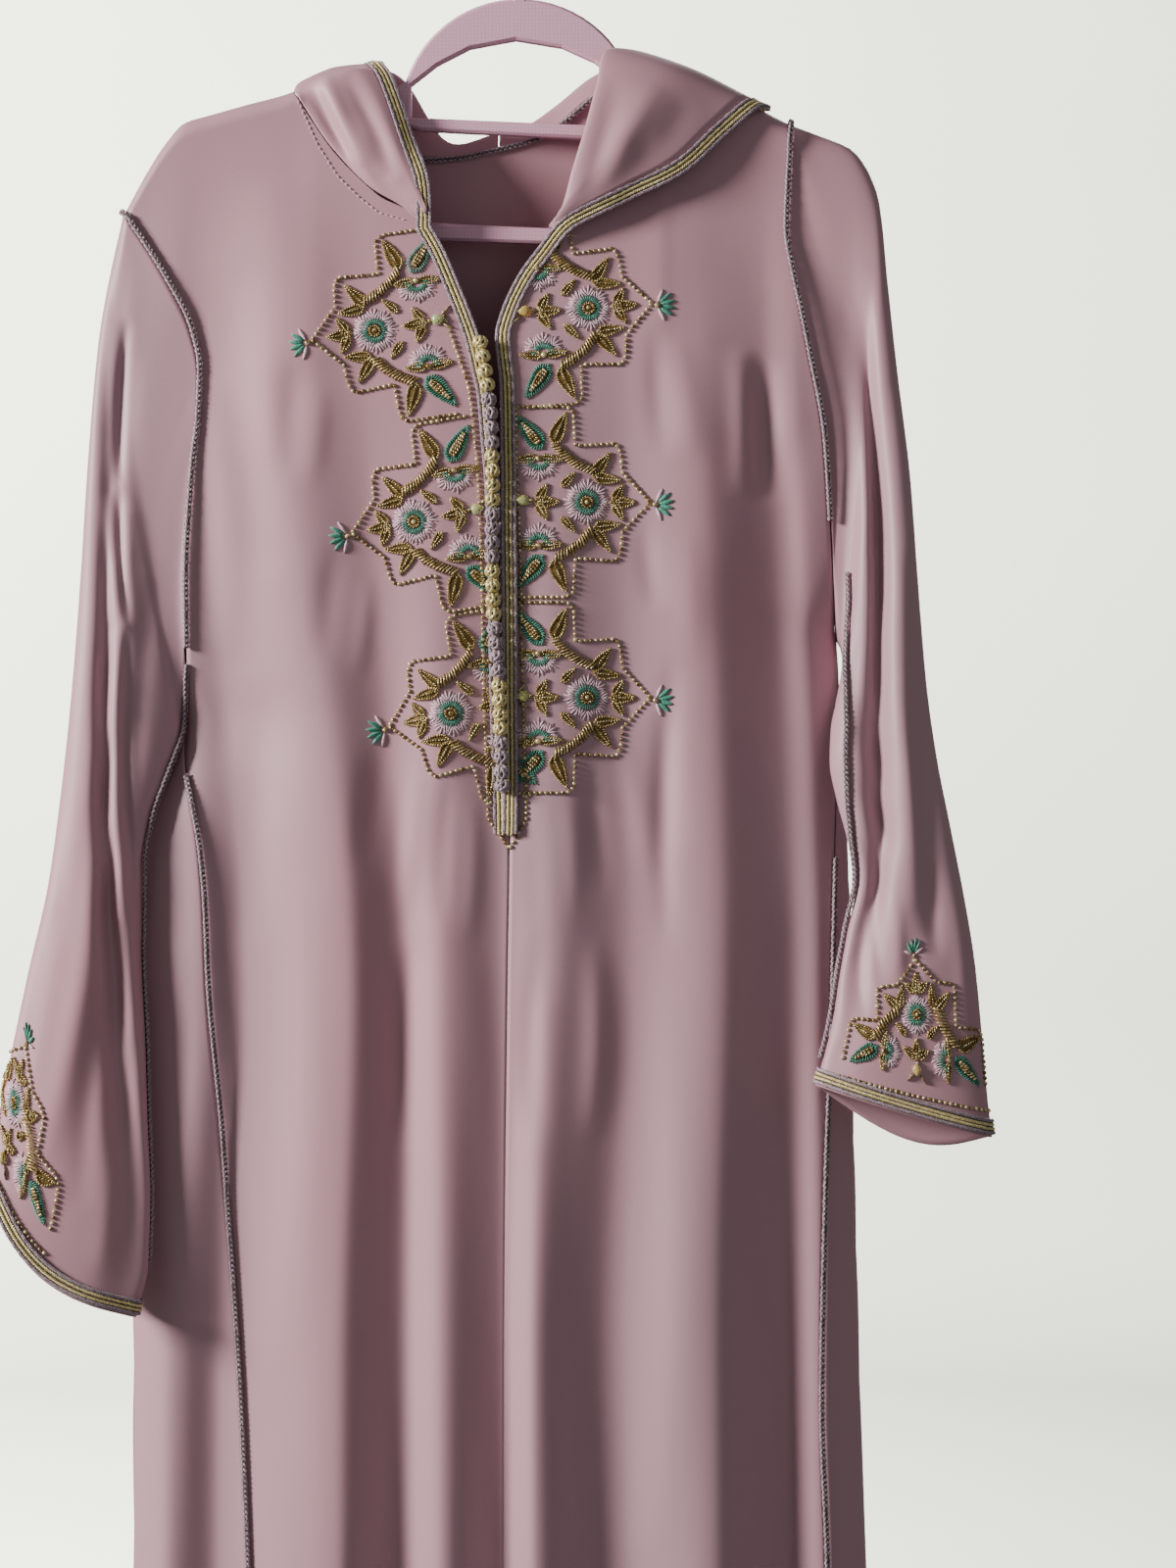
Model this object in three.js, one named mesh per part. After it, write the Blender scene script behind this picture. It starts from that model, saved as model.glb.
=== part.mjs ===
// Djellaba hanging on a plastic hanger. Millimetres, +Z up.
// Origin: inside top of the hanger hook. +X: the wearer's left. +Y: the back. Front faces -Y.
// "drop" is the distance below the hook, so a point at drop d stands at Z = -d.
// Right and left are the wearer's.
import * as THREE from 'three';

// Cloth and seams
const WALL = 1.5;
const SEAM_HALF_GAP = 0.55;
const OPENING_HALF_GAP = 0.65;
const ARMHOLE_GAP = 1.1;
const NECK_GAP = 1.5;
const LAY_GAP = 0.35;
const CORD_GAP = 0.6;
const HOOD_BRAID_GAP = 0.8;
const NECK_CORD_IN_RIGHT = 12;
const NECK_CORD_IN_LEFT = 14;
const HEM_DROP = 1500;
const ARMPIT_RIGHT = 508;
const ARMPIT_LEFT = 455;
const PLACKET_END = 575;

// Depth of the hanging body, front and back, either side of the hanger's plane
const ROLL = 10.5;
const DRAPE = 220;
const CHEST_FRONT = 28;
const HEM_FRONT = 42;
const CHEST_BACK = 24;
const HEM_BACK = 38;
const FLANK_SQUARE = 2.6;
const FLANK_ROUND = 0.6;
const FOLD_FADE = 0.12;
const RIDGE_GAP = 0.4;

// Sleeve rings: width of the long crease as a share across, and how blunt the edges are
const CREASE_WIDTH = 0.11;
const NOSE_AT_SHOULDER = 0.5;
const NOSE_AT_CUFF = 0.8;
const NOSE_RINGS = 6;
const SLEEVE_TOP_IN = 2;

// Trims
const CORD_RADIUS = 2.2;
const CORD_SIDES = 6;
const BRAID_WIDTH = 8;
const BRAID_THICK = 1.5;
const EDGE_BRAID_THICK = 2.6;
const BRAID_EDGE = 0.8;
const CUFF_BRAID_IN = 0.06;
const CUFF_BRAID_OUT = 0.26;
const BUTTON_COUNT = 32;
const BUTTON_FIRST = 278.6;
const BUTTON_LAST = 546.2;
const BUTTON_WIDE = 9.6;
const BUTTON_DEEP = 7.4;
const BUTTON_TALL = 8.2;
const BUTTON_CLEAR = 0.84;
const BUTTONS_A_COLOUR = 4;
const BUTTON_SEGMENTS = 7;
const BUTTON_BANDS = 5;

// Hanger moulding
const HANGER_THICK = 9;
const HANGER_BEVEL = 1.6;
const HOOK_INNER = 20;
const HOOK_OUTER = 28;
const NECK_HALF = 4.5;
const ARCH_RADIUS = 73;
const ARCH_DROP = 138;
const ARM_SETTLE = 1.5;
const HOOK_TIP_ANGLE = 205;
const ARCH_FROM = 18;
const ARCH_TO = 86;

// Mesh counts
const SHOULDER_SHARES = [0, 0.1, 0.2, 0.3, 0.4, 0.5, 0.6, 0.7, 0.8, 0.9, 1];
const NECK_SHARES = [0.04, 0.14, 0.28, 0.43, 0.58, 0.72, 0.86, 1];
const FRONT_COLUMNS = SHOULDER_SHARES.length + NECK_SHARES.length - 1;
const BACK_COLUMNS = 28;
const BACK_CROWDING = 0.42;
const SECTION_STEPS = 80;
const HOOD_STEPS = 10;
const HOOD_ROWS = 18;
const SOLVE_STEPS = 40;
const HIGHEST_DROP = 90;
const LOWEST_TOP = 320;
const HOOK_STEPS = 24;
const ARCH_STEPS = 12;

// Rows of a body panel, as shares of the way down to the armpit and on down to the hem
const UPPER_ROWS = [0, 0.004, 0.012, 0.026, 0.055, 0.11, 0.19, 0.28, 0.38, 0.48, 0.58, 0.69, 0.79, 0.89, 1];
const LOWER_ROWS = [0.065, 0.14, 0.22, 0.31, 0.42, 0.55, 0.7, 0.85, 1];

const SLEEVE_STEPS = UPPER_ROWS.length - 1;

const table = (columns, rows) => rows.map((row) => (
  Object.fromEntries(columns.map((name, k) => [name, row[k]]))));

// Where the cloth crosses the hanger's plane; over the neck it is the height the cloth turns from
const RIDGE = table(['x', 'drop'], [
  [-300, 300], [-241, 197], [-228, 173], [-216, 154], [-204, 141], [-189, 136.5], [-168, 130.5],
  [-138, 122], [-120, 110], [-80, 100], [50, 100], [84, 108], [96, 118], [144, 132],
  [166, 142.5], [180, 148], [192, 153], [203, 159],
]);

const FRONT_NECK_RIGHT = table(['x', 'drop'], [
  [-138, 122], [-127, 140], [-113, 160], [-98, 176], [-83, 189], [-69, 196], [-57, 208],
]);

const FRONT_NECK_LEFT = table(['x', 'drop'], [
  [18, 213], [42, 200], [66, 179], [83, 152], [96, 118],
]);

const BACK_NECK = table(['x', 'drop'], [
  [-138, 122], [-100, 145], [-62, 161.6], [-41, 160.4], [-16, 155.6], [9, 149], [24, 140.6],
  [35, 132], [52, 120], [96, 118],
]);

// Front opening down to the placket's foot, then the centre seam
const OPENING_RIGHT = table(['drop', 'x'], [
  [208, -57], [222, -49], [245, -39], [270, -29], [293, -21], [308, -16.5], [335, -13.5], [365, -11],
  [425, -9], [485, -8], [PLACKET_END, -5.4], [665, -6.6], [845, -8.4], [1025, -9], [HEM_DROP, -10],
]);

const OPENING_LEFT = table(['drop', 'x'], [
  [213, 21], [218, 18], [239, 3], [260, -7], [275, -11], [296, -12], [335, -12], [365, -11],
  [425, -9], [485, -8], [PLACKET_END, -5.4], [665, -6.6], [845, -8.4], [1025, -9], [HEM_DROP, -10],
]);

// Armhole, then side seam
const SEAM_RIGHT = table(['drop', 'x'], [
  [197, -241], [215, -228], [236, -215], [268, -199], [292, -194], [323, -195], [345, -198],
  [365, -200], [419, -203], [472, -202.5], [ARMPIT_RIGHT, -204], [526, -204], [550, -200],
  [585, -194], [619, -191], [667, -189], [755, -181], [905, -169], [1025, -163], [HEM_DROP, -150],
]);

const SEAM_LEFT = table(['drop', 'x'], [
  [143, 165.6], [160, 165], [207, 163], [228, 166], [253, 171], [279, 176], [335, 186], [401, 190],
  [ARMPIT_LEFT, 193], [479, 194.4], [520, 194.5], [559, 193], [673, 190], [785, 186], [919, 184],
  [1024, 187], [HEM_DROP, 192],
]);

// Outline of the body from the front; above the armpits it is the line the depth fades towards
const FLANK = table(['drop', 'right', 'left'], [
  [120, -305, 285], [200, -298, 272], [300, -276, 250], [365, -262, 229], [425, -245, 206],
  [455, -233, 193.6], [479, -220, 195], [508, -204.4, 197], [520, -206.4, 197.6], [541, -217, 198.8],
  [566, -227, 199.7], [580, -231, 200.2], [620, -235, 202], [700, -236, 203], [785, -236, 205],
  [905, -236, 208], [1025, -236, 212], [HEM_DROP, -240, 226],
]);

// Vertical folds: the place of each crest and hollow at four heights, and how far it stands out
const FOLD_DROPS = [300, 665, 905, HEM_DROP];
const FOLD_COLUMNS = ['xChest', 'xWaist', 'xHip', 'xHem', 'outChest', 'outWaist', 'outHip', 'outHem'];

const FRONT_FOLDS = table(FOLD_COLUMNS, [
  [-222, -197, -216, -222, 0, 4, 8, 12],
  [-195, -168, -181, -184, -4, -5, -8, -12],
  [-147, -103, -109, -106, 5, 7, 9, 14],
  [-92, -72, -73, -70, -1, -6, -9, -14],
  [-50, -45, -45, -40, 0, 4, 6, 11],
  [-10, -10, -10, -11, 0, -4, -8, -12],
  [22, 18, 10, 14, 0, 4, 8, 13],
  [60, 66, 51, 55, -1, -6, -9, -13],
  [108, 122, 117, 122, 5, 7, 10, 14],
  [148, 162, 162, 168, -4, -5, -9, -12],
  [170, 184, 184, 202, 2, 3, 6, 9],
]);

const BACK_FOLDS = table(FOLD_COLUMNS, [
  [-205, -196, -200, -206, 0, 2, 4, 8],
  [-158, -160, -164, -170, -2, -5, -8, -13],
  [-118, -116, -122, -128, 2, 6, 9, 15],
  [-70, -78, -84, -82, -2, -5, -7, -12],
  [-34, -36, -40, -34, 0, 4, 6, 11],
  [2, 0, 4, 10, -1, -5, -9, -14],
  [46, 42, 44, 52, 2, 6, 8, 13],
  [88, 84, 80, 90, -2, -4, -6, -12],
  [128, 124, 120, 130, 2, 5, 9, 15],
  [160, 158, 156, 170, -1, -4, -7, -11],
  [188, 184, 182, 204, 0, 2, 4, 7],
]);

// Sleeves, a row per ring: outer and inner edge seen from the front, middle of the depth, half
// depths, the long crease (share across, depth) and how far front and back dip past the edges
const SLEEVE_COLUMNS = ['outX', 'outDrop', 'inX', 'inDrop', 'y', 'front', 'back', 'creaseAt', 'crease',
  'dip', 'backDip'];

const SLEEVE_RIGHT = table(SLEEVE_COLUMNS, [
  [-249, 232, -206, 511, -1, 16, 14, 0.15, 1, 0, 0],
  [-256, 275, -207.5, 520, -4.5, 15, 13, 0.18, 4, 0, 0],
  [-262, 350, -215, 541, -9, 15, 12.5, 0.28, 10, 0, 0],
  [-266, 420, -224, 566, -13, 15, 12, 0.38, 14, 0, 0],
  [-271, 490, -230, 596, -17, 15, 11.5, 0.5, 15, 0, 0],
  [-277, 550, -230, 644, -20, 15, 11, 0.64, 15, 1, 1],
  [-284, 605, -227, 700, -24, 15, 11, 0.76, 14, 3, 2],
  [-296, 660, -225, 750, -27, 15, 11, 0.85, 11, 6, 4],
  [-306, 710, -223, 795, -30, 15, 12, 0.9, 8, 10, 7],
  [-314, 755, -224, 835, -32, 15, 12, 0.94, 6, 14, 10],
  [-319, 784, -231, 866, -34, 15, 13, 0.97, 4, 19, 14],
]);

const SLEEVE_LEFT = table(SLEEVE_COLUMNS, [
  [186, 150.5, 195, 458, -1, 15, 14, 0.3, 2, 0, 0],
  [204, 159, 197, 462, -2, 15, 13, 0.34, 4, 0, 0],
  [219, 190, 198, 470, -5, 15, 12, 0.36, 7, 0, 0],
  [224, 240, 197, 481, -9, 15, 11, 0.36, 9, 0, 0],
  [229, 290, 194, 495, -14, 14, 10, 0.36, 11, 0, 0],
  [237, 360, 190, 512, -19, 14, 9, 0.4, 12, 0, 0],
  [241, 420, 189, 532, -24, 14, 9, 0.46, 12, 0, 0],
  [246, 485, 193, 555, -28, 14, 9, 0.56, 12, 0, 0],
  [252, 530, 199, 578, -31, 14, 10, 0.66, 12, 0, 1],
  [260, 572, 204, 605, -34, 14, 10, 0.78, 10, 0, 2],
  [268, 614, 199, 633, -36, 14, 10, 0.86, 8, 0, 5],
  [274, 652, 194, 660, -38, 14, 11, 0.9, 6, 1, 8],
  [278, 694, 190, 685, -40, 14, 12, 0.93, 4, 1, 12],
  [281, 730, 184, 710, -41, 14, 12, 0.95, 3, 1, 16],
  [284, 757, 179, 726, -42, 14, 13, 0.97, 2, 1, 20],
]);

// Hood pushed back, a row per section from the front of the neck round to the centre back.
// Each goes from the neck seam over the rise and down to the lower fold, and back up to the edge.
const HOOD_COLUMNS = ['seamX', 'seamSide', 'riseX', 'riseY', 'riseDrop', 'fallX', 'fallY', 'fallDrop',
  'foldX', 'foldY', 'foldDrop', 'turnX', 'turnY', 'turnDrop', 'edgeX', 'edgeY', 'edgeDrop'];

const HOOD_RIGHT = table(HOOD_COLUMNS, [
  [-59, -1, -58, -20, 203.6, -57.3, -21, 202, -56.6, -21.5, 200.4, -56, -22, 198.8, -55.4, -22, 197],
  [-72, -1, -70.5, -19, 190, -69, -20.5, 186, -67.5, -21.5, 182, -66, -22, 178, -65, -21.5, 174],
  [-92, -1, -88, -18, 174, -84, -20.5, 167, -80, -21.5, 160.5, -76, -21, 156, -72.5, -19, 154],
  [-115, -1, -110, -14.5, 148, -103, -17, 140, -96, -17.5, 133, -88, -16, 129, -80.5, -14, 130],
  [-130, -1, -125, -11, 126, -117, -12, 119, -108, -12, 114, -98, -11, 111.5, -87, -9.5, 113.5],
  [-135.5, -1, -131.5, -5, 120, -123, -5, 115, -113, -4, 111, -102, -3, 108, -92, -2.5, 106.5],
  [-137.4, 1, -135.5, 3.5, 116.5, -127, 6, 112, -116, 8, 109, -106, 8.5, 106, -96, 9, 103.5],
  [-122, 1, -118, 17, 114, -118, 22, 127, -118, 28, 150, -112, 34, 130, -101, 30, 109],
  [-100, 1, -90, 16, 106, -100, 25, 160, -111, 34, 225, -104, 42, 168, -95, 42, 124],
  [-75, 1, -71, 16, 112, -84, 27, 212, -92, 36, 300, -86, 46, 224, -79, 46, 148],
  [-45, 1, -45, 17, 149, -52, 30, 265, -58, 37, 380, -54, 48, 285, -48, 48, 170],
  [-13.5, 1, -13.5, 17.5, 144, -13.4, 32, 305, -13.3, 38, 430, -13.4, 49, 315, -13.5, 49, 178],
]);

const HOOD_LEFT = table(HOOD_COLUMNS, [
  [22, -1, 20.5, -20.5, 210, 19.2, -22, 209, 18.5, -23.5, 208, 18.8, -24.5, 207, 20.3, -25, 208.5],
  [40, -1, 33, -22.5, 202, 28, -26, 202, 25.5, -28.5, 201, 27, -30.5, 197, 31.5, -30, 199.5],
  [62, -1, 49, -23, 181, 38, -28, 178, 33, -31, 174, 47, -34, 172, 65, -29.5, 183],
  [78, -1, 61, -21, 157, 46, -27.5, 152, 40.5, -30.5, 149, 66, -33, 150, 95, -26.5, 167.5],
  [90, -1, 74, -17, 129, 56, -23, 124, 47.5, -26.5, 122, 82, -28.5, 126, 118, -21.5, 146],
  [95.5, -1, 86, -9, 110.5, 67, -13, 102.5, 55, -15.5, 98.5, 92, -19, 110, 136, -15, 130],
  [91, 1, 86.5, 4.5, 104.5, 85, 2.5, 103, 90, 1.5, 105.5, 114, 0.5, 114, 144, 1.5, 127],
  [70, 1, 72, 16, 100, 84, 22, 113, 105, 29, 142, 127, 31, 150, 142, 25, 133],
  [45, 1, 47, 17, 108, 70, 26, 152, 108, 35, 212, 113, 42, 172, 118, 42, 138],
  [22, 1, 24, 17, 126, 50, 27, 212, 84, 37, 300, 81, 46, 222, 85, 46, 152],
  [4, 1, 5, 17, 139, 20, 30, 262, 38, 37, 380, 34, 48, 284, 37, 48, 170],
  [-12.3, 1, -12.3, 17.5, 144, -12.1, 32, 305, -11.9, 38, 430, -12.1, 49, 315, -12.3, 49, 178],
]);

// Underarm cords: the ring each starts from and the sleeve's column it lies on at every ring after
const UNDERARM_RIGHT = { from: 2, columns: [13, 13, 13, 14, 15, 15, 15, 15, 15] };
const UNDERARM_LEFT = { from: 3, columns: [10, 10, 10, 10, 10, 11, 12, 13, 14, 14, 14, 14] };

// How far down each armhole its cord runs before the sleeve covers it
const ARMHOLE_CORD_END_RIGHT = 462;
const ARMHOLE_CORD_END_LEFT = 385;
const SIDE_CORD_START_RIGHT = 540;
const SIDE_CORD_START_LEFT = 590;

// Braids either side of the opening: how far each stands aside from the panel's edge
const BRAID_ASIDE = table(['drop', 'right', 'left'], [
  [200, 0, 0], [270, 0.6, 0.6], [305, 4.6, 4.6], [340, 5, 5], [401, 4.4, 3.4], [485, 4.4, 2.4],
  [PLACKET_END, 4.4, 0.4],
]);
const BRAID_CROSSING = [345, 395];
const BRAID_START_LEFT = 224;
const BRAID_OVER = 1;

// Button column
const BUTTON_LINE = table(['drop', 'x'], [
  [270, -24.5], [303, -19], [335, -16], [365, -15.6], [410, -15.8], [449, -14.4], [479, -12],
  [546, -9.6],
]);
const BUTTON_CROSSING = [440, 500];

// Hanger: lower outline past each arm, window over the lower bar, and the small window in the arch
const HANGER_ARM_LEFT = table(['x', 'drop'], [
  [78, 119.4], [98, 120.4], [120, 126], [144, 134.2], [160, 142.6], [172, 149.6],
  [183, 156.6], [191, 164.6], [196.5, 175], [198, 187], [194, 200], [182, 210.5], [160, 217.5],
]);
const HANGER_ARM_RIGHT = table(['x', 'drop'], [
  [-150, 208], [-180, 203.5], [-194, 196], [-202, 185], [-203, 168], [-199, 152], [-190, 141.5],
  [-178, 135.6], [-160, 130.4], [-138, 123.6], [-120, 121], [-96, 119.8], [-78, 119.4],
]);
const HANGER_WINDOW = table(['x', 'drop'], [
  [-60, 143.9], [-70, 141], [-78, 136.5], [-92, 134.6], [-138, 137.5], [-168, 145.5],
  [-186, 151.5], [-191, 163], [-191, 178], [-184, 189], [-168, 194.6], [0, 203], [160, 209],
  [176, 205], [186, 196], [189, 184], [184, 171], [172, 162], [144, 149.5], [98, 136],
  [78, 137.5], [62, 150],
]);
const ARCH_WINDOW = table(['x', 'drop'], [
  [-66, 137.6], [-66, 118], [-50, 105.5], [-30, 95.2], [-2, 90], [26, 94.6], [46, 103.6],
  [64, 119], [64, 143.2],
]);

const CLOTH_COLOUR = 0xae969c;
const CORD_COLOUR = 0x9c8794;
const GOLD_COLOUR = 0xc0a95a;
const HANGER_COLOUR = 0xe3b7cb;
const CLOTH_ROUGHNESS = 0.62;
const TRIM_ROUGHNESS = 0.7;

const STRAIGHT = 180;
const LEAST_FACING = 0.2;
const EVEN_TENSION = 0.5;

const lerp = (a, b, t) => a + (b - a) * t;
const clamp = (value, low, high) => Math.min(Math.max(value, low), high);
const smooth = (t) => {
  const c = clamp(t, 0, 1);
  return c * c * (3 - 2 * c);
};

// Smooth curve through a table that never swings past its own values
function throughPoints(xs, ys, at, held) {
  const last = xs.length - 1;
  const slope = xs.slice(0, last).map((x, k) => (ys[k + 1] - ys[k]) / (xs[k + 1] - x));
  const tangent = (k) => {
    if (k === 0 || k === last) {
      return held ? 0 : slope[Math.min(k, last - 1)];
    }
    const product = slope[k - 1] * slope[k];
    return product <= 0 ? 0 : (2 * product) / (slope[k - 1] + slope[k]);
  };
  if (at <= xs[0]) {
    return ys[0] + tangent(0) * (at - xs[0]);
  }
  if (at >= xs[last]) {
    return ys[last] + tangent(last) * (at - xs[last]);
  }
  let k = 0;
  while (at > xs[k + 1]) {
    k += 1;
  }
  const span = xs[k + 1] - xs[k];
  const t = (at - xs[k]) / span;
  const rise = t * t * (3 - 2 * t);
  const leave = t * (1 - t) * (1 - t) * span;
  const arrive = t * t * (t - 1) * span;
  return lerp(ys[k], ys[k + 1], rise) + leave * tangent(k) + arrive * tangent(k + 1);
}

const follow = (rows, key, column) => {
  const xs = rows.map((row) => row[key]);
  const ys = rows.map((row) => row[column]);
  return (at) => throughPoints(xs, ys, at, false);
};

const ridgeDrop = follow(RIDGE, 'x', 'drop');
const frontNeckRight = follow(FRONT_NECK_RIGHT, 'x', 'drop');
const frontNeckLeft = follow(FRONT_NECK_LEFT, 'x', 'drop');
const backNeck = follow(BACK_NECK, 'x', 'drop');
const heldAbove = (rows) => {
  const line = follow(rows, 'drop', 'x');
  return (drop) => line(Math.max(drop, rows[0].drop));
};
const openingRight = heldAbove(OPENING_RIGHT);
const openingLeft = heldAbove(OPENING_LEFT);
const seamRight = heldAbove(SEAM_RIGHT);
const seamLeft = heldAbove(SEAM_LEFT);
const flankRight = follow(FLANK, 'drop', 'right');
const flankLeft = follow(FLANK, 'drop', 'left');
const NECK_RIGHT_X = FRONT_NECK_RIGHT[0].x;
const NECK_LEFT_X = BACK_NECK[BACK_NECK.length - 1].x;

// How far a fold stands out at a place, for a table of folds
function foldField(folds) {
  return (x, drop) => {
    const height = clamp(drop, FOLD_DROPS[0], HEM_DROP);
    const at = (values) => throughPoints(FOLD_DROPS, values, height, false);
    const places = folds.map((f) => at([f.xChest, f.xWaist, f.xHip, f.xHem]));
    const outs = folds.map((f) => at([f.outChest, f.outWaist, f.outHip, f.outHem]));
    return throughPoints(places, outs, x, true);
  };
}

const FRONT = { sign: -1, chest: CHEST_FRONT, hem: HEM_FRONT, fold: foldField(FRONT_FOLDS) };
const BACK = { sign: 1, chest: CHEST_BACK, hem: HEM_BACK, fold: foldField(BACK_FOLDS) };

// Y of the cloth's middle surface on one side of the body
function bodyY(x, drop, side, folded = true) {
  const right = flankRight(drop);
  const left = flankLeft(drop);
  const away = Math.min(Math.abs(x - (left + right) / 2) / ((left - right) / 2), 1);
  const below = Math.max(drop - ridgeDrop(x), 0);
  const turned = Math.sqrt(1 - (1 - Math.min(below / ROLL, 1)) ** 2);
  const reach = smooth(below / DRAPE);
  const full = lerp(side.chest, side.hem, smooth((drop - ARMPIT_RIGHT) / (HEM_DROP - ARMPIT_RIGHT)));
  const across = (1 - away ** FLANK_SQUARE) ** FLANK_ROUND;
  const fold = folded ? side.fold(x, drop) * smooth((1 - away) / FOLD_FADE) : 0;
  const out = ROLL * (1 - reach) + (across * full + fold) * reach;
  return side.sign * (RIDGE_GAP * (1 - reach) + turned * out);
}

const place = (x, y, drop) => new THREE.Vector3(x, y, -drop);

// Drop at which a column that leans with its height meets the panel's top edge
function meetTop(xAt, top) {
  let high = HIGHEST_DROP;
  let low = LOWEST_TOP;
  for (let k = 0; k < SOLVE_STEPS; k += 1) {
    const mid = (high + low) / 2;
    if (mid < top(xAt(mid))) {
      high = mid;
    } else {
      low = mid;
    }
  }
  return (high + low) / 2;
}

const rowDrops = (top, armpit) => [
  ...UPPER_ROWS.map((share) => lerp(top, armpit, share)),
  ...LOWER_ROWS.map((share) => lerp(armpit, HEM_DROP, share)),
];

function frontPanel(outer, opening, top, armpit, neck) {
  const atNeck = (outer(neck.drop) - neck.x) / (outer(neck.drop) - opening(neck.drop));
  const shares = [
    ...SHOULDER_SHARES.map((share) => share * atNeck),
    ...NECK_SHARES.map((share) => lerp(atNeck, 1, share)),
  ];
  return shares.map((share) => {
    const xAt = (drop) => lerp(outer(drop), opening(drop), share);
    const drops = rowDrops(meetTop(xAt, top), armpit);
    return drops.map((drop) => place(xAt(drop), bodyY(xAt(drop), drop, FRONT), drop));
  });
}

// A level section of the back panel: from one seam round both flanks to the other
function backSection(drop) {
  const right = flankRight(drop);
  const left = flankLeft(drop);
  const middle = (left + right) / 2;
  const half = (left - right) / 2;
  const angleOf = (x) => Math.acos(clamp((x - middle) / half, -1, 1));
  const seamR = seamRight(drop) + (drop > ARMPIT_RIGHT ? -SEAM_HALF_GAP : SEAM_HALF_GAP);
  const seamL = seamLeft(drop) + (drop > ARMPIT_LEFT ? SEAM_HALF_GAP : -SEAM_HALF_GAP);
  const from = drop > ARMPIT_RIGHT ? 2 * Math.PI - angleOf(seamR) : angleOf(seamR);
  const to = drop > ARMPIT_LEFT ? -angleOf(seamL) : angleOf(seamL);
  const points = [];
  let length = 0;
  for (let k = 0; k <= SECTION_STEPS; k += 1) {
    const angle = lerp(from, to, k / SECTION_STEPS);
    const side = angle > Math.PI || angle < 0 ? FRONT : BACK;
    const x = middle + half * Math.cos(angle);
    const y = bodyY(x, drop, side, false);
    if (k > 0) {
      length += Math.hypot(x - points[k - 1].x, y - points[k - 1].y);
    }
    points.push({ x, y, angle, length });
  }
  return (share) => {
    const along = share * length;
    let k = 0;
    while (k < SECTION_STEPS - 1 && points[k + 1].length < along) {
      k += 1;
    }
    const t = (along - points[k].length) / (points[k + 1].length - points[k].length);
    const angle = lerp(points[k].angle, points[k + 1].angle, t);
    return { x: middle + half * Math.cos(angle), side: angle > Math.PI || angle < 0 ? FRONT : BACK };
  };
}

const backTop = (x) => (x > NECK_RIGHT_X && x < NECK_LEFT_X ? backNeck(x) : ridgeDrop(x));

function backPanel() {
  const grid = [];
  for (let i = 0; i <= BACK_COLUMNS; i += 1) {
    const even = i / BACK_COLUMNS;
    const share = even - (BACK_CROWDING * Math.sin(2 * Math.PI * even)) / (2 * Math.PI);
    const top = meetTop((drop) => backSection(drop)(share).x, backTop);
    const armpit = lerp(ARMPIT_RIGHT, ARMPIT_LEFT, share);
    grid.push(rowDrops(top, armpit).map((drop) => {
      const { x, side } = backSection(drop)(share);
      return place(x, bodyY(x, drop, side), drop);
    }));
  }
  return grid;
}

// Unit normals of a grid of points, by differences along both ways
function gridNormals(grid, closed) {
  const wide = grid.length;
  const tall = grid[0].length;
  const column = (i) => (closed ? grid[(i + wide) % wide] : grid[clamp(i, 0, wide - 1)]);
  return grid.map((points, i) => points.map((_, j) => {
    const across = column(i + 1)[j].clone().sub(column(i - 1)[j]);
    const down = points[Math.min(j + 1, tall - 1)].clone().sub(points[Math.max(j - 1, 0)]);
    return across.cross(down).normalize();
  }));
}

const shifted = (grid, normals, distance) => grid.map((points, i) => (
  points.map((point, j) => point.clone().addScaledVector(normals[i][j], distance))));

function solidFrom(vertices, triangles) {
  const geometry = new THREE.BufferGeometry();
  const position = vertices.flatMap((v) => [v.x, v.y, v.z]);
  let volume = 0;
  for (const [a, b, c] of triangles) {
    volume += vertices[a].dot(vertices[b].clone().cross(vertices[c]));
  }
  const index = triangles.flatMap(([a, b, c]) => (volume < 0 ? [a, c, b] : [a, b, c]));
  geometry.setAttribute('position', new THREE.Float32BufferAttribute(position, 3));
  geometry.setIndex(index);
  geometry.computeVertexNormals();
  return geometry;
}

// Cloth of one thickness over a grid of points, open or closed round its columns
function sheetSolid(grid, thickness, closed = false, normals = gridNormals(grid, closed)) {
  const wide = grid.length;
  const tall = grid[0].length;
  const vertices = [
    ...shifted(grid, normals, thickness / 2).flat(),
    ...shifted(grid, normals, -thickness / 2).flat(),
  ];
  const inner = wide * tall;
  const at = (i, j) => (i % wide) * tall + j;
  const triangles = [];
  const quad = (a, b, c, d) => triangles.push([a, b, c], [a, c, d]);
  const spans = closed ? wide : wide - 1;
  for (let i = 0; i < spans; i += 1) {
    for (let j = 0; j < tall - 1; j += 1) {
      quad(at(i, j), at(i + 1, j), at(i + 1, j + 1), at(i, j + 1));
      quad(inner + at(i, j), inner + at(i, j + 1), inner + at(i + 1, j + 1), inner + at(i + 1, j));
    }
    quad(at(i, 0), inner + at(i, 0), inner + at(i + 1, 0), at(i + 1, 0));
    quad(at(i, tall - 1), at(i + 1, tall - 1), inner + at(i + 1, tall - 1), inner + at(i, tall - 1));
  }
  if (!closed) {
    for (let j = 0; j < tall - 1; j += 1) {
      quad(at(0, j), at(0, j + 1), inner + at(0, j + 1), inner + at(0, j));
      quad(at(wide - 1, j), inner + at(wide - 1, j), inner + at(wide - 1, j + 1), at(wide - 1, j + 1));
    }
  }
  return solidFrom(vertices, triangles);
}

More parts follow.
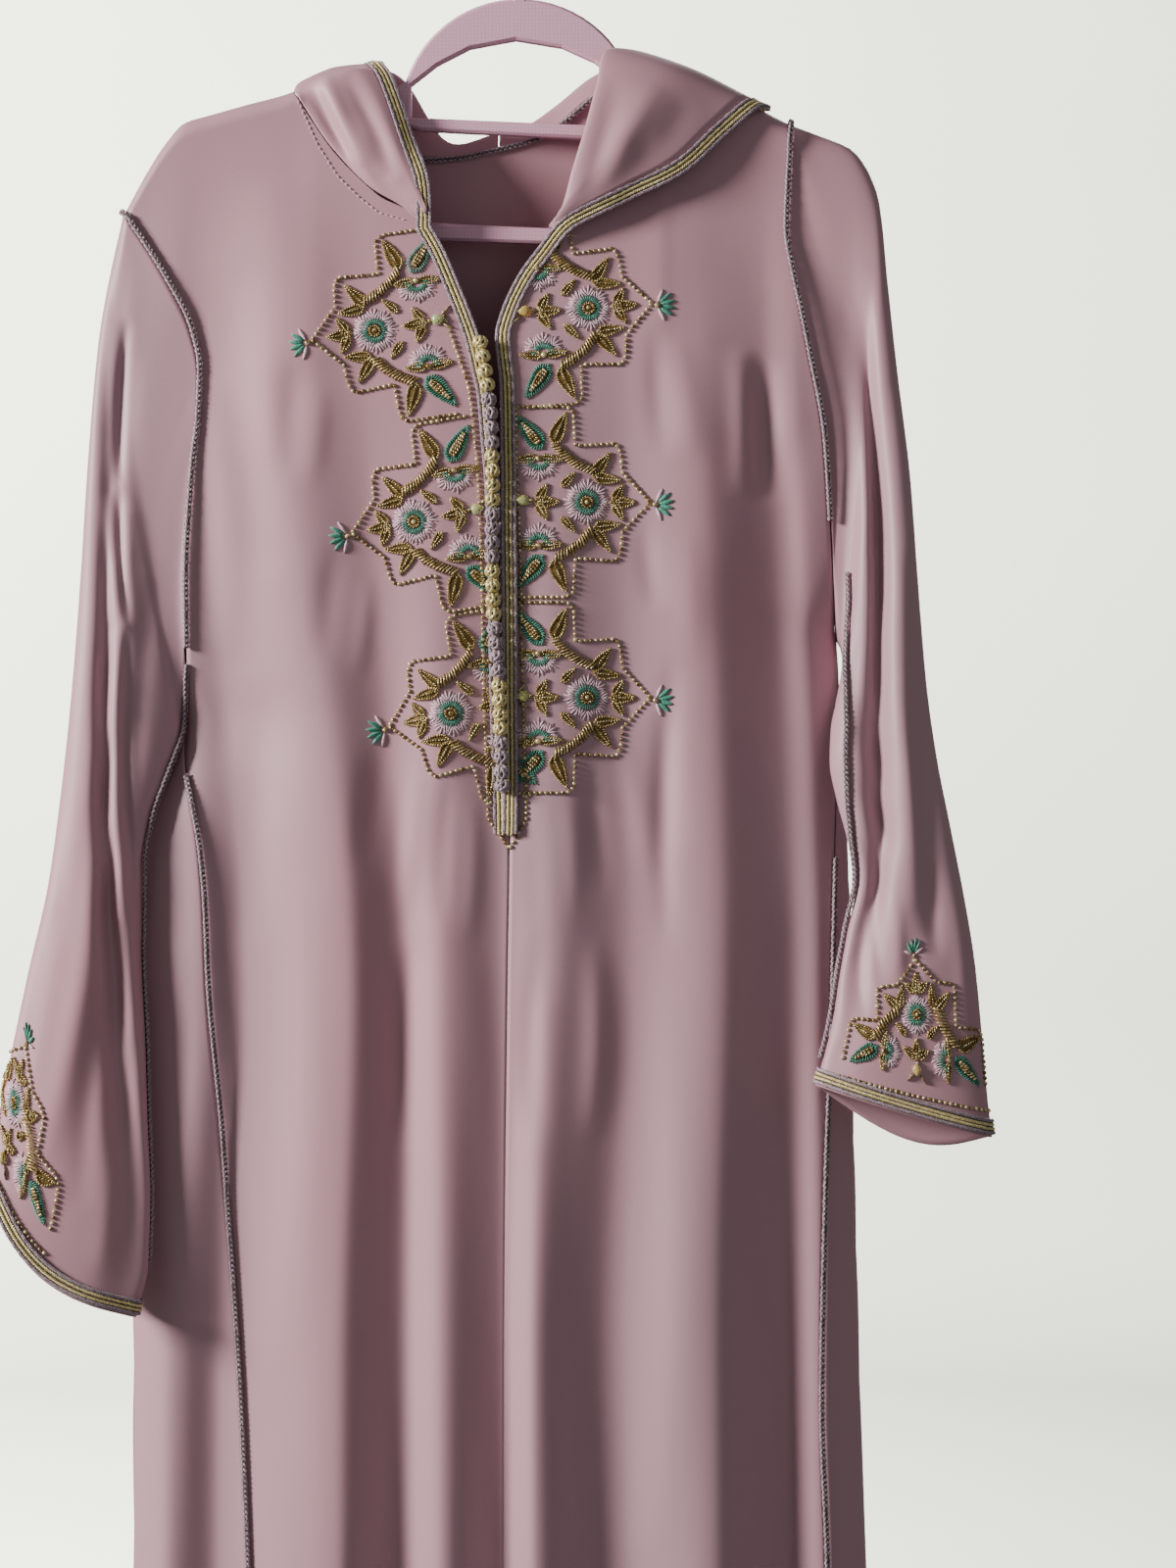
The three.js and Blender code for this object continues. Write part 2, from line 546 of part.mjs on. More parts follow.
// A section (across, out) carried along a path whose outward direction is given
function sweep(path, section) {
  const count = section.length;
  const vertices = [];
  path.forEach(({ point, out }, k) => {
    const before = path[Math.max(k - 1, 0)].point;
    const after = path[Math.min(k + 1, path.length - 1)].point;
    const along = after.clone().sub(before).normalize();
    const across = along.clone().cross(out).normalize();
    const square = across.clone().cross(along).normalize();
    section.forEach(([wide, high]) => {
      vertices.push(point.clone().addScaledVector(across, wide).addScaledVector(square, high));
    });
  });
  const triangles = [];
  for (let k = 0; k < path.length - 1; k += 1) {
    for (let n = 0; n < count; n += 1) {
      const a = k * count + n;
      const b = k * count + ((n + 1) % count);
      triangles.push([a, b, b + count], [a, b + count, a + count]);
    }
  }
  const end = (path.length - 1) * count;
  for (let n = 1; n < count - 1; n += 1) {
    triangles.push([0, n + 1, n], [end, end + n, end + n + 1]);
  }
  return solidFrom(vertices, triangles);
}

const cordSection = Array.from({ length: CORD_SIDES }, (_, n) => {
  const angle = (2 * Math.PI * (n + 0.5)) / CORD_SIDES;
  return [CORD_RADIUS * Math.cos(angle), CORD_RADIUS * Math.sin(angle)];
});

const bandSection = (width, thick) => [
  [-width / 2, 0], [-width / 2 + BRAID_EDGE, -thick / 2], [width / 2 - BRAID_EDGE, -thick / 2],
  [width / 2, 0], [width / 2 - BRAID_EDGE, thick / 2], [-width / 2 + BRAID_EDGE, thick / 2],
];

// Points down a panel's column between two drops, moved out from the cloth and aside from the column
function columnPath(grid, column, beside, from, to, lift, aside = () => 0) {
  const normals = gridNormals(grid, false);
  const path = [];
  const add = (j, t) => {
    const next = Math.min(j + 1, grid[column].length - 1);
    const here = grid[column][j].clone().lerp(grid[column][next], t);
    const inward = grid[beside][j].clone().lerp(grid[beside][next], t);
    const drop = -here.z;
    const share = aside(drop) / here.distanceTo(inward);
    const out = normals[column][j].clone().lerp(normals[column][next], t).normalize();
    out.multiplyScalar(Math.abs(out.y) > LEAST_FACING ? -Math.sign(out.y) : Math.sign(out.z));
    path.push({ point: here.lerp(inward, share).addScaledVector(out, lift(drop)), out });
  };
  const drops = grid[column].map((point) => -point.z);
  drops.forEach((drop, j) => {
    const next = drops[j + 1];
    if (next > from && drop < from) {
      add(j, (from - drop) / (next - drop));
    }
    if (drop >= from && drop <= to) {
      add(j, 0);
    }
    if (drop < to && next > to) {
      add(j, (to - drop) / (next - drop));
    }
  });
  return path;
}

function sleeveShares() {
  return Array.from({ length: 2 * SLEEVE_STEPS }, (_, k) => {
    const angle = (Math.PI * k) / SLEEVE_STEPS;
    return {
      share: (1 - Math.cos(angle)) / 2,
      armhole: UPPER_ROWS[k <= SLEEVE_STEPS ? k : 2 * SLEEVE_STEPS - k],
      depth: Math.abs(Math.sin(angle)),
      front: k < SLEEVE_STEPS,
    };
  });
}

function sleeveGrid(rows, seam, topDrop, armpit, outward) {
  return sleeveShares().map(({ share, armhole, depth, front }) => {
    const drop = lerp(topDrop, armpit, armhole);
    const x = seam(drop) + outward * ARMHOLE_GAP;
    const column = [place(x, bodyY(x, drop, front ? FRONT : BACK), drop)];
    rows.forEach((row, k) => {
      const nose = lerp(NOSE_AT_SHOULDER, NOSE_AT_CUFF, smooth(k / NOSE_RINGS));
      const crease = row.crease * Math.exp(-(((share - row.creaseAt) / CREASE_WIDTH) ** 2));
      const reach = depth ** nose;
      const y = front ? row.y - row.front * reach + crease * reach : row.y + row.back * reach;
      const chordX = row.inX - row.outX;
      const chordDrop = row.inDrop - row.outDrop;
      const long = Math.hypot(chordX, chordDrop);
      const dip = (front ? row.dip : row.backDip) * Math.sin(Math.PI * share);
      column.push(place(
        lerp(row.outX, row.inX, share) + (outward * dip * Math.abs(chordDrop)) / long,
        y,
        lerp(row.outDrop, row.inDrop, share) + (dip * Math.abs(chordX)) / long,
      ));
    });
    return column;
  });
}

// A strip of a grid lying on the cloth, between two shares of its last span
function edgeBand(grid, near, far, lift, outwardFrom) {
  const normals = gridNormals(grid, true);
  const last = grid[0].length - 1;
  return grid.map((column, i) => [far, near].map((share) => {
    const point = column[last].clone().lerp(column[last - 1], share);
    const out = normals[i][last].clone().lerp(normals[i][last - 1], share).normalize();
    return point.addScaledVector(out, lift * outwardFrom);
  }));
}

function hoodGrid(rows) {
  const columns = ['seam', 'rise', 'fall', 'fold', 'turn', 'edge'].map((name) => (
    new THREE.CatmullRomCurve3(rows.map((row) => {
      if (name !== 'seam') {
        return place(row[`${name}X`], row[`${name}Y`], row[`${name}Drop`]);
      }
      const side = row.seamSide < 0 ? FRONT : BACK;
      const frontNeck = row.seamX < 0 ? frontNeckRight : frontNeckLeft;
      const neck = side === FRONT ? frontNeck : backNeck;
      const drop = neck(row.seamX);
      const slope = (neck(row.seamX + 1) - neck(row.seamX - 1)) / 2;
      const away = NECK_GAP / Math.hypot(1, slope);
      return place(row.seamX + away * slope, bodyY(row.seamX, drop, side), drop - away);
    }), false, 'catmullrom', EVEN_TENSION)));
  const grid = [];
  for (let i = 0; i <= HOOD_ROWS; i += 1) {
    const section = new THREE.CatmullRomCurve3(
      columns.map((curve) => curve.getPoint(i / HOOD_ROWS)), false, 'centripetal');
    grid.push(Array.from({ length: HOOD_STEPS + 1 }, (_, j) => section.getPoint(j / HOOD_STEPS)));
  }
  return grid;
}

// Braid that carries on past the hood's free edge, in the cloth's own plane
function hoodBraidGrid(grid) {
  const last = grid[0].length - 1;
  return grid.map((section, i) => {
    const edge = section[last];
    const next = grid[Math.min(i + 1, grid.length - 1)][last];
    const before = grid[Math.max(i - 1, 0)][last];
    const along = next.clone().sub(before).normalize();
    const outward = edge.clone().sub(section[last - 1]);
    outward.addScaledVector(along, i < grid.length - 1 ? -outward.dot(along) : 0).normalize();
    const reaches = [HOOD_BRAID_GAP, HOOD_BRAID_GAP + BRAID_WIDTH];
    return reaches.map((reach) => edge.clone().addScaledVector(outward, reach));
  });
}

const edgeNormals = (grid) => gridNormals(grid, false).map((section) => {
  const out = section[section.length - 1];
  return [out, out];
});

function cordOver(frontGrid, backGrid, backColumn, armpit, lift) {
  const front = columnPath(frontGrid, 0, 1, 0, armpit, () => lift);
  const normals = gridNormals(backGrid, false)[backColumn];
  const back = backGrid[backColumn]
    .map((point, j) => ({ point, out: normals[j].clone() }))
    .filter(({ point }, j) => j > 0 && -point.z <= armpit);
  back.forEach((step) => {
    step.out.multiplyScalar(step.out.y < 0 ? -1 : 1);
    step.point = step.point.clone().addScaledVector(step.out, lift);
  });
  return [...front.reverse(), ...back];
}

function neckCordPath(grid, lift) {
  const normals = gridNormals(grid, false);
  return grid
    .map((column, i) => ({ point: column[0], out: normals[i][0].clone(), x: column[0].x }))
    .filter(({ x }) => x > NECK_RIGHT_X + NECK_CORD_IN_RIGHT && x < NECK_LEFT_X - NECK_CORD_IN_LEFT)
    .map(({ point, out }) => {
      out.multiplyScalar(out.y > 0 ? -1 : 1);
      out.z = 0;
      out.normalize();
      return { point: point.clone().addScaledVector(out, lift), out };
    });
}

// Cord down the sleeve through named points of its grid, moved out from the cloth
function underarmPath(grid, { from, columns }, lift) {
  const normals = gridNormals(grid, true);
  return columns.map((column, k) => {
    const ring = from + k;
    const middle = grid[0][ring].clone().lerp(grid[SLEEVE_STEPS][ring], 0.5);
    const out = normals[column][ring].clone();
    if (out.dot(grid[column][ring].clone().sub(middle)) < 0) {
      out.negate();
    }
    return { point: grid[column][ring].clone().addScaledVector(out, lift), out };
  });
}

function hangerGeometry() {
  const shape = new THREE.Shape();
  const line = (rows) => rows.forEach(({ x, drop }) => shape.lineTo(x, -drop - ARM_SETTLE));
  const hookPoint = (degrees, radius) => {
    const angle = THREE.MathUtils.degToRad(degrees);
    return [radius * Math.cos(angle), radius * Math.sin(angle) - HOOK_INNER];
  };
  const joinDegrees = THREE.MathUtils.radToDeg(Math.asin(NECK_HALF / HOOK_OUTER));
  const archTop = -ARCH_DROP + Math.sqrt(ARCH_RADIUS ** 2 - NECK_HALF ** 2);
  shape.moveTo(NECK_HALF, archTop);
  for (let k = 0; k <= HOOK_STEPS; k += 1) {
    shape.lineTo(...hookPoint(lerp(joinDegrees - 90, HOOK_TIP_ANGLE, k / HOOK_STEPS), HOOK_OUTER));
  }
  for (let k = 0; k <= HOOK_STEPS; k += 1) {
    shape.lineTo(...hookPoint(lerp(HOOK_TIP_ANGLE, -90 - joinDegrees, k / HOOK_STEPS), HOOK_INNER));
  }
  shape.lineTo(...hookPoint(-90 - joinDegrees, HOOK_OUTER));
  shape.lineTo(-NECK_HALF, archTop);
  const arch = (from, to) => {
    for (let k = 1; k <= ARCH_STEPS; k += 1) {
      const angle = THREE.MathUtils.degToRad(lerp(from, to, k / ARCH_STEPS));
      shape.lineTo(ARCH_RADIUS * Math.cos(angle), ARCH_RADIUS * Math.sin(angle) - ARCH_DROP);
    }
  };
  arch(STRAIGHT - ARCH_TO, STRAIGHT - ARCH_FROM);
  line([...HANGER_ARM_RIGHT].reverse());
  line([...HANGER_ARM_LEFT].reverse());
  arch(ARCH_FROM, ARCH_TO);
  shape.closePath();
  for (const [window, settle] of [[HANGER_WINDOW, ARM_SETTLE], [ARCH_WINDOW, 0]]) {
    shape.holes.push(new THREE.Path(window.map(({ x, drop }) => new THREE.Vector2(x, -drop - settle))));
  }
  const geometry = new THREE.ExtrudeGeometry(shape, {
    depth: HANGER_THICK - 2 * HANGER_BEVEL,
    bevelThickness: HANGER_BEVEL,
    bevelSize: HANGER_BEVEL,
    bevelOffset: -HANGER_BEVEL,
    bevelSegments: 1,
    steps: 1,
  });
  geometry.translate(0, 0, HANGER_BEVEL - HANGER_THICK / 2);
  geometry.rotateX(Math.PI / 2);
  return geometry;
}

function buttonGeometry(drop) {
  const x = follow(BUTTON_LINE, 'drop', 'x')(drop);
  const raised = smooth((drop - BUTTON_CROSSING[0]) / (BUTTON_CROSSING[1] - BUTTON_CROSSING[0]));
  const stack = WALL / 2 + BRAID_THICK + BUTTON_CLEAR + raised * (BRAID_THICK + LAY_GAP);
  const geometry = new THREE.SphereGeometry(0.5, BUTTON_SEGMENTS, BUTTON_BANDS);
  geometry.scale(BUTTON_WIDE, BUTTON_DEEP, BUTTON_TALL);
  geometry.translate(x, bodyY(x, drop, FRONT) - stack - BUTTON_DEEP / 2, -drop);
  return geometry;
}

const group = new THREE.Group();
group.name = 'djellaba';

function add(name, geometry, color, roughness) {
  const mesh = new THREE.Mesh(geometry, new THREE.MeshStandardMaterial({ color, roughness }));
  mesh.name = name;
  group.add(mesh);
}

const frontTopRight = (x) => (x < NECK_RIGHT_X ? ridgeDrop(x) : frontNeckRight(x));
const frontTopLeft = (x) => (x > NECK_LEFT_X ? ridgeDrop(x) : frontNeckLeft(x));
const frontRight = frontPanel(
  (drop) => seamRight(drop) + SEAM_HALF_GAP,
  (drop) => openingRight(drop) - OPENING_HALF_GAP,
  frontTopRight,
  ARMPIT_RIGHT,
  FRONT_NECK_RIGHT[0],
);
const frontLeft = frontPanel(
  (drop) => seamLeft(drop) - SEAM_HALF_GAP,
  (drop) => openingLeft(drop) + OPENING_HALF_GAP,
  frontTopLeft,
  ARMPIT_LEFT,
  FRONT_NECK_LEFT[FRONT_NECK_LEFT.length - 1],
);
const back = backPanel();
const sleeveRight = sleeveGrid(SLEEVE_RIGHT, seamRight, SEAM_RIGHT[0].drop, ARMPIT_RIGHT - SLEEVE_TOP_IN, -1);
const sleeveLeft = sleeveGrid(SLEEVE_LEFT, seamLeft, SEAM_LEFT[0].drop, ARMPIT_LEFT - SLEEVE_TOP_IN, 1);
const hoodRight = hoodGrid(HOOD_RIGHT);
const hoodLeft = hoodGrid(HOOD_LEFT);

const cordLift = WALL / 2 + CORD_RADIUS + CORD_GAP;
const bandLift = WALL / 2 + BRAID_THICK / 2 + LAY_GAP;
const crossed = (drop) => bandLift
  + smooth((drop - BRAID_CROSSING[0]) / (BRAID_CROSSING[1] - BRAID_CROSSING[0])) * (BRAID_THICK + BRAID_OVER);

// A braid down one side of the opening, standing aside from the panel's edge
function placketBraid(panel, start, lift, side) {
  const aside = follow(BRAID_ASIDE, 'drop', side);
  const path = columnPath(panel, FRONT_COLUMNS, FRONT_COLUMNS - 1, start, PLACKET_END, lift, aside);
  return sweep(path, bandSection(BRAID_WIDTH, BRAID_THICK));
}

// A braid along a hood half's free edge, from one of its sections round to the back
function hoodBraid(grid, start) {
  const band = hoodBraidGrid(grid).slice(start);
  return sheetSolid(band, EDGE_BRAID_THICK, false, edgeNormals(grid).slice(start));
}

function cuffBraid(grid, outwardFrom) {
  return sheetSolid(
    edgeBand(grid, CUFF_BRAID_IN, CUFF_BRAID_OUT, bandLift, outwardFrom), BRAID_THICK, true);
}

function sideCord(panel, start) {
  return sweep(columnPath(panel, 0, 1, start, HEM_DROP, () => cordLift), cordSection);
}

const cloth = {
  front_right: sheetSolid(frontRight, WALL),
  front_left: sheetSolid(frontLeft, WALL),
  back: sheetSolid(back, WALL),
  sleeve_right: sheetSolid(sleeveRight, WALL, true),
  sleeve_left: sheetSolid(sleeveLeft, WALL, true),
  hood_right: sheetSolid(hoodRight, WALL),
  hood_left: sheetSolid(hoodLeft, WALL),
};

const braids = {
  placket_braid_right: placketBraid(frontRight, 0, () => bandLift, 'right'),
  placket_braid_left: placketBraid(frontLeft, BRAID_START_LEFT, crossed, 'left'),
  hood_braid_right: hoodBraid(hoodRight, 0),
  hood_braid_left: hoodBraid(hoodLeft, 1),
  cuff_braid_right: cuffBraid(sleeveRight, -1),
  cuff_braid_left: cuffBraid(sleeveLeft, 1),
};

const cords = {
  armhole_cord_right: sweep(
    cordOver(frontRight, back, 0, ARMHOLE_CORD_END_RIGHT, cordLift), cordSection),
  armhole_cord_left: sweep(
    cordOver(frontLeft, back, BACK_COLUMNS, ARMHOLE_CORD_END_LEFT, cordLift), cordSection),
  side_cord_right: sideCord(frontRight, SIDE_CORD_START_RIGHT),
  side_cord_left: sideCord(frontLeft, SIDE_CORD_START_LEFT),
  underarm_cord_right: sweep(underarmPath(sleeveRight, UNDERARM_RIGHT, cordLift), cordSection),
  underarm_cord_left: sweep(underarmPath(sleeveLeft, UNDERARM_LEFT, cordLift), cordSection),
  neck_cord: sweep(neckCordPath(back, cordLift), cordSection),
};

add('hanger', hangerGeometry(), HANGER_COLOUR, TRIM_ROUGHNESS);
Object.entries(cloth).forEach(([name, geometry]) => {
  add(name, geometry, CLOTH_COLOUR, CLOTH_ROUGHNESS);
});
Object.entries(braids).forEach(([name, geometry]) => {
  add(name, geometry, GOLD_COLOUR, TRIM_ROUGHNESS);
});
Object.entries(cords).forEach(([name, geometry]) => {
  add(name, geometry, CORD_COLOUR, TRIM_ROUGHNESS);
});

for (let n = 0; n < BUTTON_COUNT; n += 1) {
  const drop = lerp(BUTTON_FIRST, BUTTON_LAST, n / (BUTTON_COUNT - 1));
  const gold = Math.floor(n / BUTTONS_A_COLOUR) % 2 === 0;
  const name = `button_${String(n + 1).padStart(2, '0')}`;
  add(name, buttonGeometry(drop), gold ? GOLD_COLOUR : CORD_COLOUR, TRIM_ROUGHNESS);
}

export default group;
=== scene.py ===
import math

import bpy
import numpy as np
from bpy.props import FloatProperty, FloatVectorProperty, IntProperty, PointerProperty
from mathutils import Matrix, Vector
from mathutils.bvhtree import BVHTree


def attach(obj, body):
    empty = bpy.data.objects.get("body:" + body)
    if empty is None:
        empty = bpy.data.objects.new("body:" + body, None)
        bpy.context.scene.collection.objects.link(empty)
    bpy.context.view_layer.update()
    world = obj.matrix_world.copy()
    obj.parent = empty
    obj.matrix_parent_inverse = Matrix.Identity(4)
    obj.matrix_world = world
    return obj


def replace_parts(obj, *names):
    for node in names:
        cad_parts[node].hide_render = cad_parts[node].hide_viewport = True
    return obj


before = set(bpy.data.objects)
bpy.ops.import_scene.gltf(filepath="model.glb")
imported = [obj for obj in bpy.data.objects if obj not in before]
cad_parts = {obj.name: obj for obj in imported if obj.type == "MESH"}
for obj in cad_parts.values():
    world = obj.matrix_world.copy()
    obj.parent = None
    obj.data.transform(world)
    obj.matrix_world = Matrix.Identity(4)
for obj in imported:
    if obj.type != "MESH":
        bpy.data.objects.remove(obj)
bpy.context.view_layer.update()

bl_info = {
    "name": "Djellaba on a hanger",
    "version": (1, 0, 0),
    "blender": (4, 5, 0),
    "location": "View3D > Sidebar > Djellaba",
    "description": "Satin crepe djellaba with plaited trims and raised beadwork, hung on a moulded hanger",
    "category": "Add Mesh",
}

# All shapes are worked out in millimetres and made in metres. +X is the wearer's left, +Y the back.
# "drop" is the distance below the inside top of the hanger's hook.
MM = 0.001
WALL = 1.3
SEAM_HALF_GAP = 0.45
OPENING_HALF_GAP = 0.65
CENTRE_SEAM_HALF_GAP = 0.12
ARMHOLE_GAP = 1.0
NECK_GAP = 0.8
HOOD_BRAID_GAP = 0.8
HEM_DROP = 1500.0
ARMPIT_RIGHT = 508.0
ARMPIT_LEFT = 455.0
PLACKET_END = 575.0
PLACKET_TIP = (-5.4, 584.0)
ROLL = 10.5
DRAPE = 220.0
CHEST_FRONT, HEM_FRONT = 28.0, 42.0
CHEST_BACK, HEM_BACK = 24.0, 38.0
FLANK_SQUARE, FLANK_ROUND = 2.6, 0.6
FOLD_FADE = 0.12
RIDGE_GAP = 0.4
BRAID_WIDTH = 8.0
TRIM_WIDTH = 9.6

# Where the cloth crosses the hanger's plane: x, drop
RIDGE = [
    (-300, 300), (-241, 197), (-228, 173), (-216, 154), (-204, 141), (-189, 136.5), (-168, 130.5),
    (-138, 122), (-120, 110), (-80, 100), (50, 100), (84, 108), (96, 118), (144, 132),
    (166, 142.5), (180, 148), (192, 153), (203, 159),
]
FRONT_NECK_RIGHT = [(-138, 122), (-127, 140), (-113, 160), (-98, 176), (-83, 189), (-69, 196), (-57, 208)]
FRONT_NECK_LEFT = [(18, 213), (42, 200), (66, 179), (83, 152), (96, 118)]
BACK_NECK = [
    (-138, 122), (-100, 145), (-62, 161.6), (-41, 160.4), (-16, 155.6), (9, 149), (24, 140.6),
    (35, 132), (52, 120), (96, 118),
]

# Front opening, then the centre seam: drop, x
OPENING_RIGHT = [
    (208, -57), (222, -49), (245, -39), (270, -29), (293, -21), (308, -16.5), (335, -13.5), (365, -11),
    (425, -9), (485, -8), (575, -5.4), (665, -6.6), (845, -8.4), (1025, -9), (1500, -10),
]
OPENING_LEFT = [
    (213, 21), (218, 18), (239, 3), (260, -7), (275, -11), (296, -12), (335, -12), (365, -11),
    (425, -9), (485, -8), (575, -5.4), (665, -6.6), (845, -8.4), (1025, -9), (1500, -10),
]

# Armhole, then side seam: drop, x
SEAM_RIGHT = [
    (197, -241), (215, -228), (236, -215), (268, -199), (292, -194), (323, -195), (345, -198),
    (365, -200), (419, -203), (472, -202.5), (508, -204), (526, -204), (550, -200),
    (585, -194), (619, -191), (667, -189), (755, -181), (905, -169), (1025, -163), (1500, -150),
]
SEAM_LEFT = [
    (143, 165.6), (160, 165), (207, 163), (228, 166), (253, 171), (279, 176), (335, 186), (401, 190),
    (455, 193), (479, 194.4), (520, 194.5), (559, 193), (673, 190), (785, 186), (919, 184),
    (1024, 187), (1500, 192),
]

# Outline of the body: drop, right, left
FLANK = [
    (120, -305, 285), (200, -298, 272), (300, -276, 250), (365, -262, 229), (425, -245, 206),
    (455, -233, 193.6), (479, -220, 195), (508, -204.4, 197), (520, -206.4, 197.6), (541, -217, 198.8),
    (566, -227, 199.7), (580, -231, 200.2), (620, -235, 202), (700, -236, 203), (785, -236, 205),
    (905, -236, 208), (1025, -236, 212), (1500, -240, 226),
]

# Long folds: x at chest, waist, hip and hem, then how far each stands out there
FOLD_DROPS = (300, 665, 905, 1500)
FRONT_FOLDS = [
    (-222, -197, -216, -222, 0, 4, 8, 12),
    (-195, -168, -181, -184, -4, -5, -8, -12),
    (-147, -103, -109, -106, 5, 7, 9, 14),
    (-92, -72, -73, -70, -1, -6, -9, -14),
    (-50, -45, -45, -40, 0, 4, 6, 11),
    (-10, -10, -10, -11, 0, -4, -8, -12),
    (22, 18, 10, 14, 0, 4, 8, 13),
    (60, 66, 51, 55, -1, -6, -9, -13),
    (108, 122, 117, 122, 5, 7, 10, 14),
    (148, 162, 162, 168, -4, -5, -9, -12),
    (170, 184, 184, 202, 2, 3, 6, 9),
]
BACK_FOLDS = [
    (-205, -196, -200, -206, 0, 2, 4, 8),
    (-158, -160, -164, -170, -2, -5, -8, -13),
    (-118, -116, -122, -128, 2, 6, 9, 15),
    (-70, -78, -84, -82, -2, -5, -7, -12),
    (-34, -36, -40, -34, 0, 4, 6, 11),
    (2, 0, 4, 10, -1, -5, -9, -14),
    (46, 42, 44, 52, 2, 6, 8, 13),
    (88, 84, 80, 90, -2, -4, -6, -12),
    (128, 124, 120, 130, 2, 5, 9, 15),
    (160, 158, 156, 170, -1, -4, -7, -11),
    (188, 184, 182, 204, 0, 2, 4, 7),
]

# Smaller creases, one by one: from x, drop to x, drop, then width and how far it stands out
FRONT_CREASES = [
    (148, 285, 152, 372, 9, -4.2), (134, 280, 136, 372, 8, 2.6), (94, 470, 90, 640, 7, -2.6),
    (-66, 640, -70, 760, 9, -2.4), (46, 640, 44, 760, 8, 2.2), (12, 640, 10, 760, 7, -2.2),
    (84, 268, 88, 345, 7, -1.6), (96, 275, 104, 350, 8, 1.2), (76, 385, 84, 440, 7, -1.5),
    (100, 392, 104, 470, 9, 1.1), (86, 500, 96, 585, 9, -1.4), (64, 520, 78, 600, 7, 1.2),
    (44, 528, 52, 610, 6, -1.5), (28, 540, 34, 625, 6, 1.1), (12, 560, 18, 680, 8, -1.2),
    (-134, 285, -138, 360, 8, -1.5), (-120, 300, -126, 365, 7, 1.0), (-110, 400, -116, 470, 8, -1.4),
    (-92, 420, -98, 480, 6, 1.0), (-84, 522, -92, 600, 8, -1.5), (-62, 536, -70, 620, 7, 1.2),
    (-42, 540, -46, 630, 6, -1.4), (-28, 548, -30, 640, 6, 1.0),
    (-150, 175, -128, 300, 22, 1.8), (-172, 230, -150, 420, 20, -2.2), (120, 190, 104, 330, 20, -1.8),
    (140, 240, 138, 420, 16, 1.8), (-186, 300, -176, 470, 12, 2.0), (166, 330, 170, 450, 9, -1.8),
    (150, 470, 160, 640, 14, 1.6), (-150, 480, -160, 640, 15, -1.6),
    (-128, 600, -140, 900, 14, 1.4), (-92, 640, -88, 1010, 12, 1.6), (-28, 640, -22, 980, 12, 1.5),
    (36, 640, 34, 1000, 13, -1.5), (92, 660, 84, 1020, 14, 1.7), (140, 620, 146, 980, 14, -1.4),
    (-150, 940, -142, 1400, 18, 2.0), (-86, 1000, -92, 1450, 16, -2.0), (-30, 1020, -24, 1490, 15, 1.8),
    (30, 1040, 36, 1490, 15, 2.0), (88, 1000, 92, 1460, 17, -2.2), (146, 980, 150, 1440, 16, 2.0),
    (182, 700, 190, 1100, 9, 1.6), (-196, 660, -206, 1120, 10, -1.8),
]
BACK_CREASES = [
    (-150, 190, -120, 340, 20, 1.8), (-60, 240, -40, 420, 22, -1.6), (30, 250, 20, 430, 20, 1.5),
    (112, 200, 96, 340, 18, -1.7), (150, 260, 140, 430, 15, 1.8), (-176, 300, -168, 480, 14, -2.0),
    (-100, 480, -96, 760, 15, 1.6), (-20, 520, -16, 840, 14, 1.5), (66, 500, 62, 820, 14, -1.6),
    (140, 480, 146, 800, 14, 1.5), (-140, 700, -146, 1180, 15, -1.8), (-58, 760, -60, 1250, 16, 1.8),
    (24, 780, 30, 1300, 15, -1.7), (104, 760, 106, 1240, 15, 1.9), (-102, 1000, -108, 1480, 16, 2.0),
    (-8, 1040, -4, 1490, 14, 2.0), (70, 1020, 74, 1480, 15, -2.0), (150, 960, 156, 1460, 15, 1.9),
]
SLEEVE_RIGHT_CREASES = [
    (-238, 262, -242, 365, 3.2, -4.0), (-242, 365, -237, 449, 3.2, -4.6), (-237, 449, -231, 629, 3.2, -5.0),
    (-247, 262, -250, 365, 5, 1.8), (-250, 365, -246, 449, 5, 2.0), (-246, 449, -240, 629, 5, 2.2),
    (-246, 330, -250, 560, 9, 2.0), (-222, 420, -236, 620, 7, -2.2), (-262, 380, -276, 640, 7, -1.8),
    (-236, 600, -262, 800, 8, -2.4), (-250, 560, -286, 780, 9, 2.2), (-282, 620, -304, 780, 8, -1.8),
    (-238, 720, -250, 840, 8, 1.8), (-236, 280, -240, 380, 8, -1.8),
]
SLEEVE_LEFT_CREASES = [
    (226, 400, 232, 640, 9, 3.6), (245, 400, 250, 640, 9, -3.6),
    (205, 220, 210, 400, 9, 2.0), (222, 300, 228, 470, 6, -1.8), (206, 430, 212, 560, 7, -2.2),
    (226, 480, 240, 620, 7, 2.0), (218, 600, 217, 668, 4, -2.0), (226, 612, 226, 668, 4, 1.5),
    (206, 640, 208, 690, 4, -1.6), (248, 590, 251, 650, 5, -1.9), (262, 600, 268, 700, 6, 1.6),
    (236, 640, 238, 668, 3.5, -1.4), (196, 660, 192, 705, 5, 1.6),
]
SLEEVE_BACK_CREASES = [
    (-248, 340, -256, 600, 9, 2.0), (-232, 420, -244, 680, 8, -2.2), (-270, 480, -296, 740, 8, -1.9),
    (210, 240, 214, 460, 8, 2.0), (222, 330, 232, 560, 7, -2.0), (230, 520, 250, 700, 8, 1.9),
]
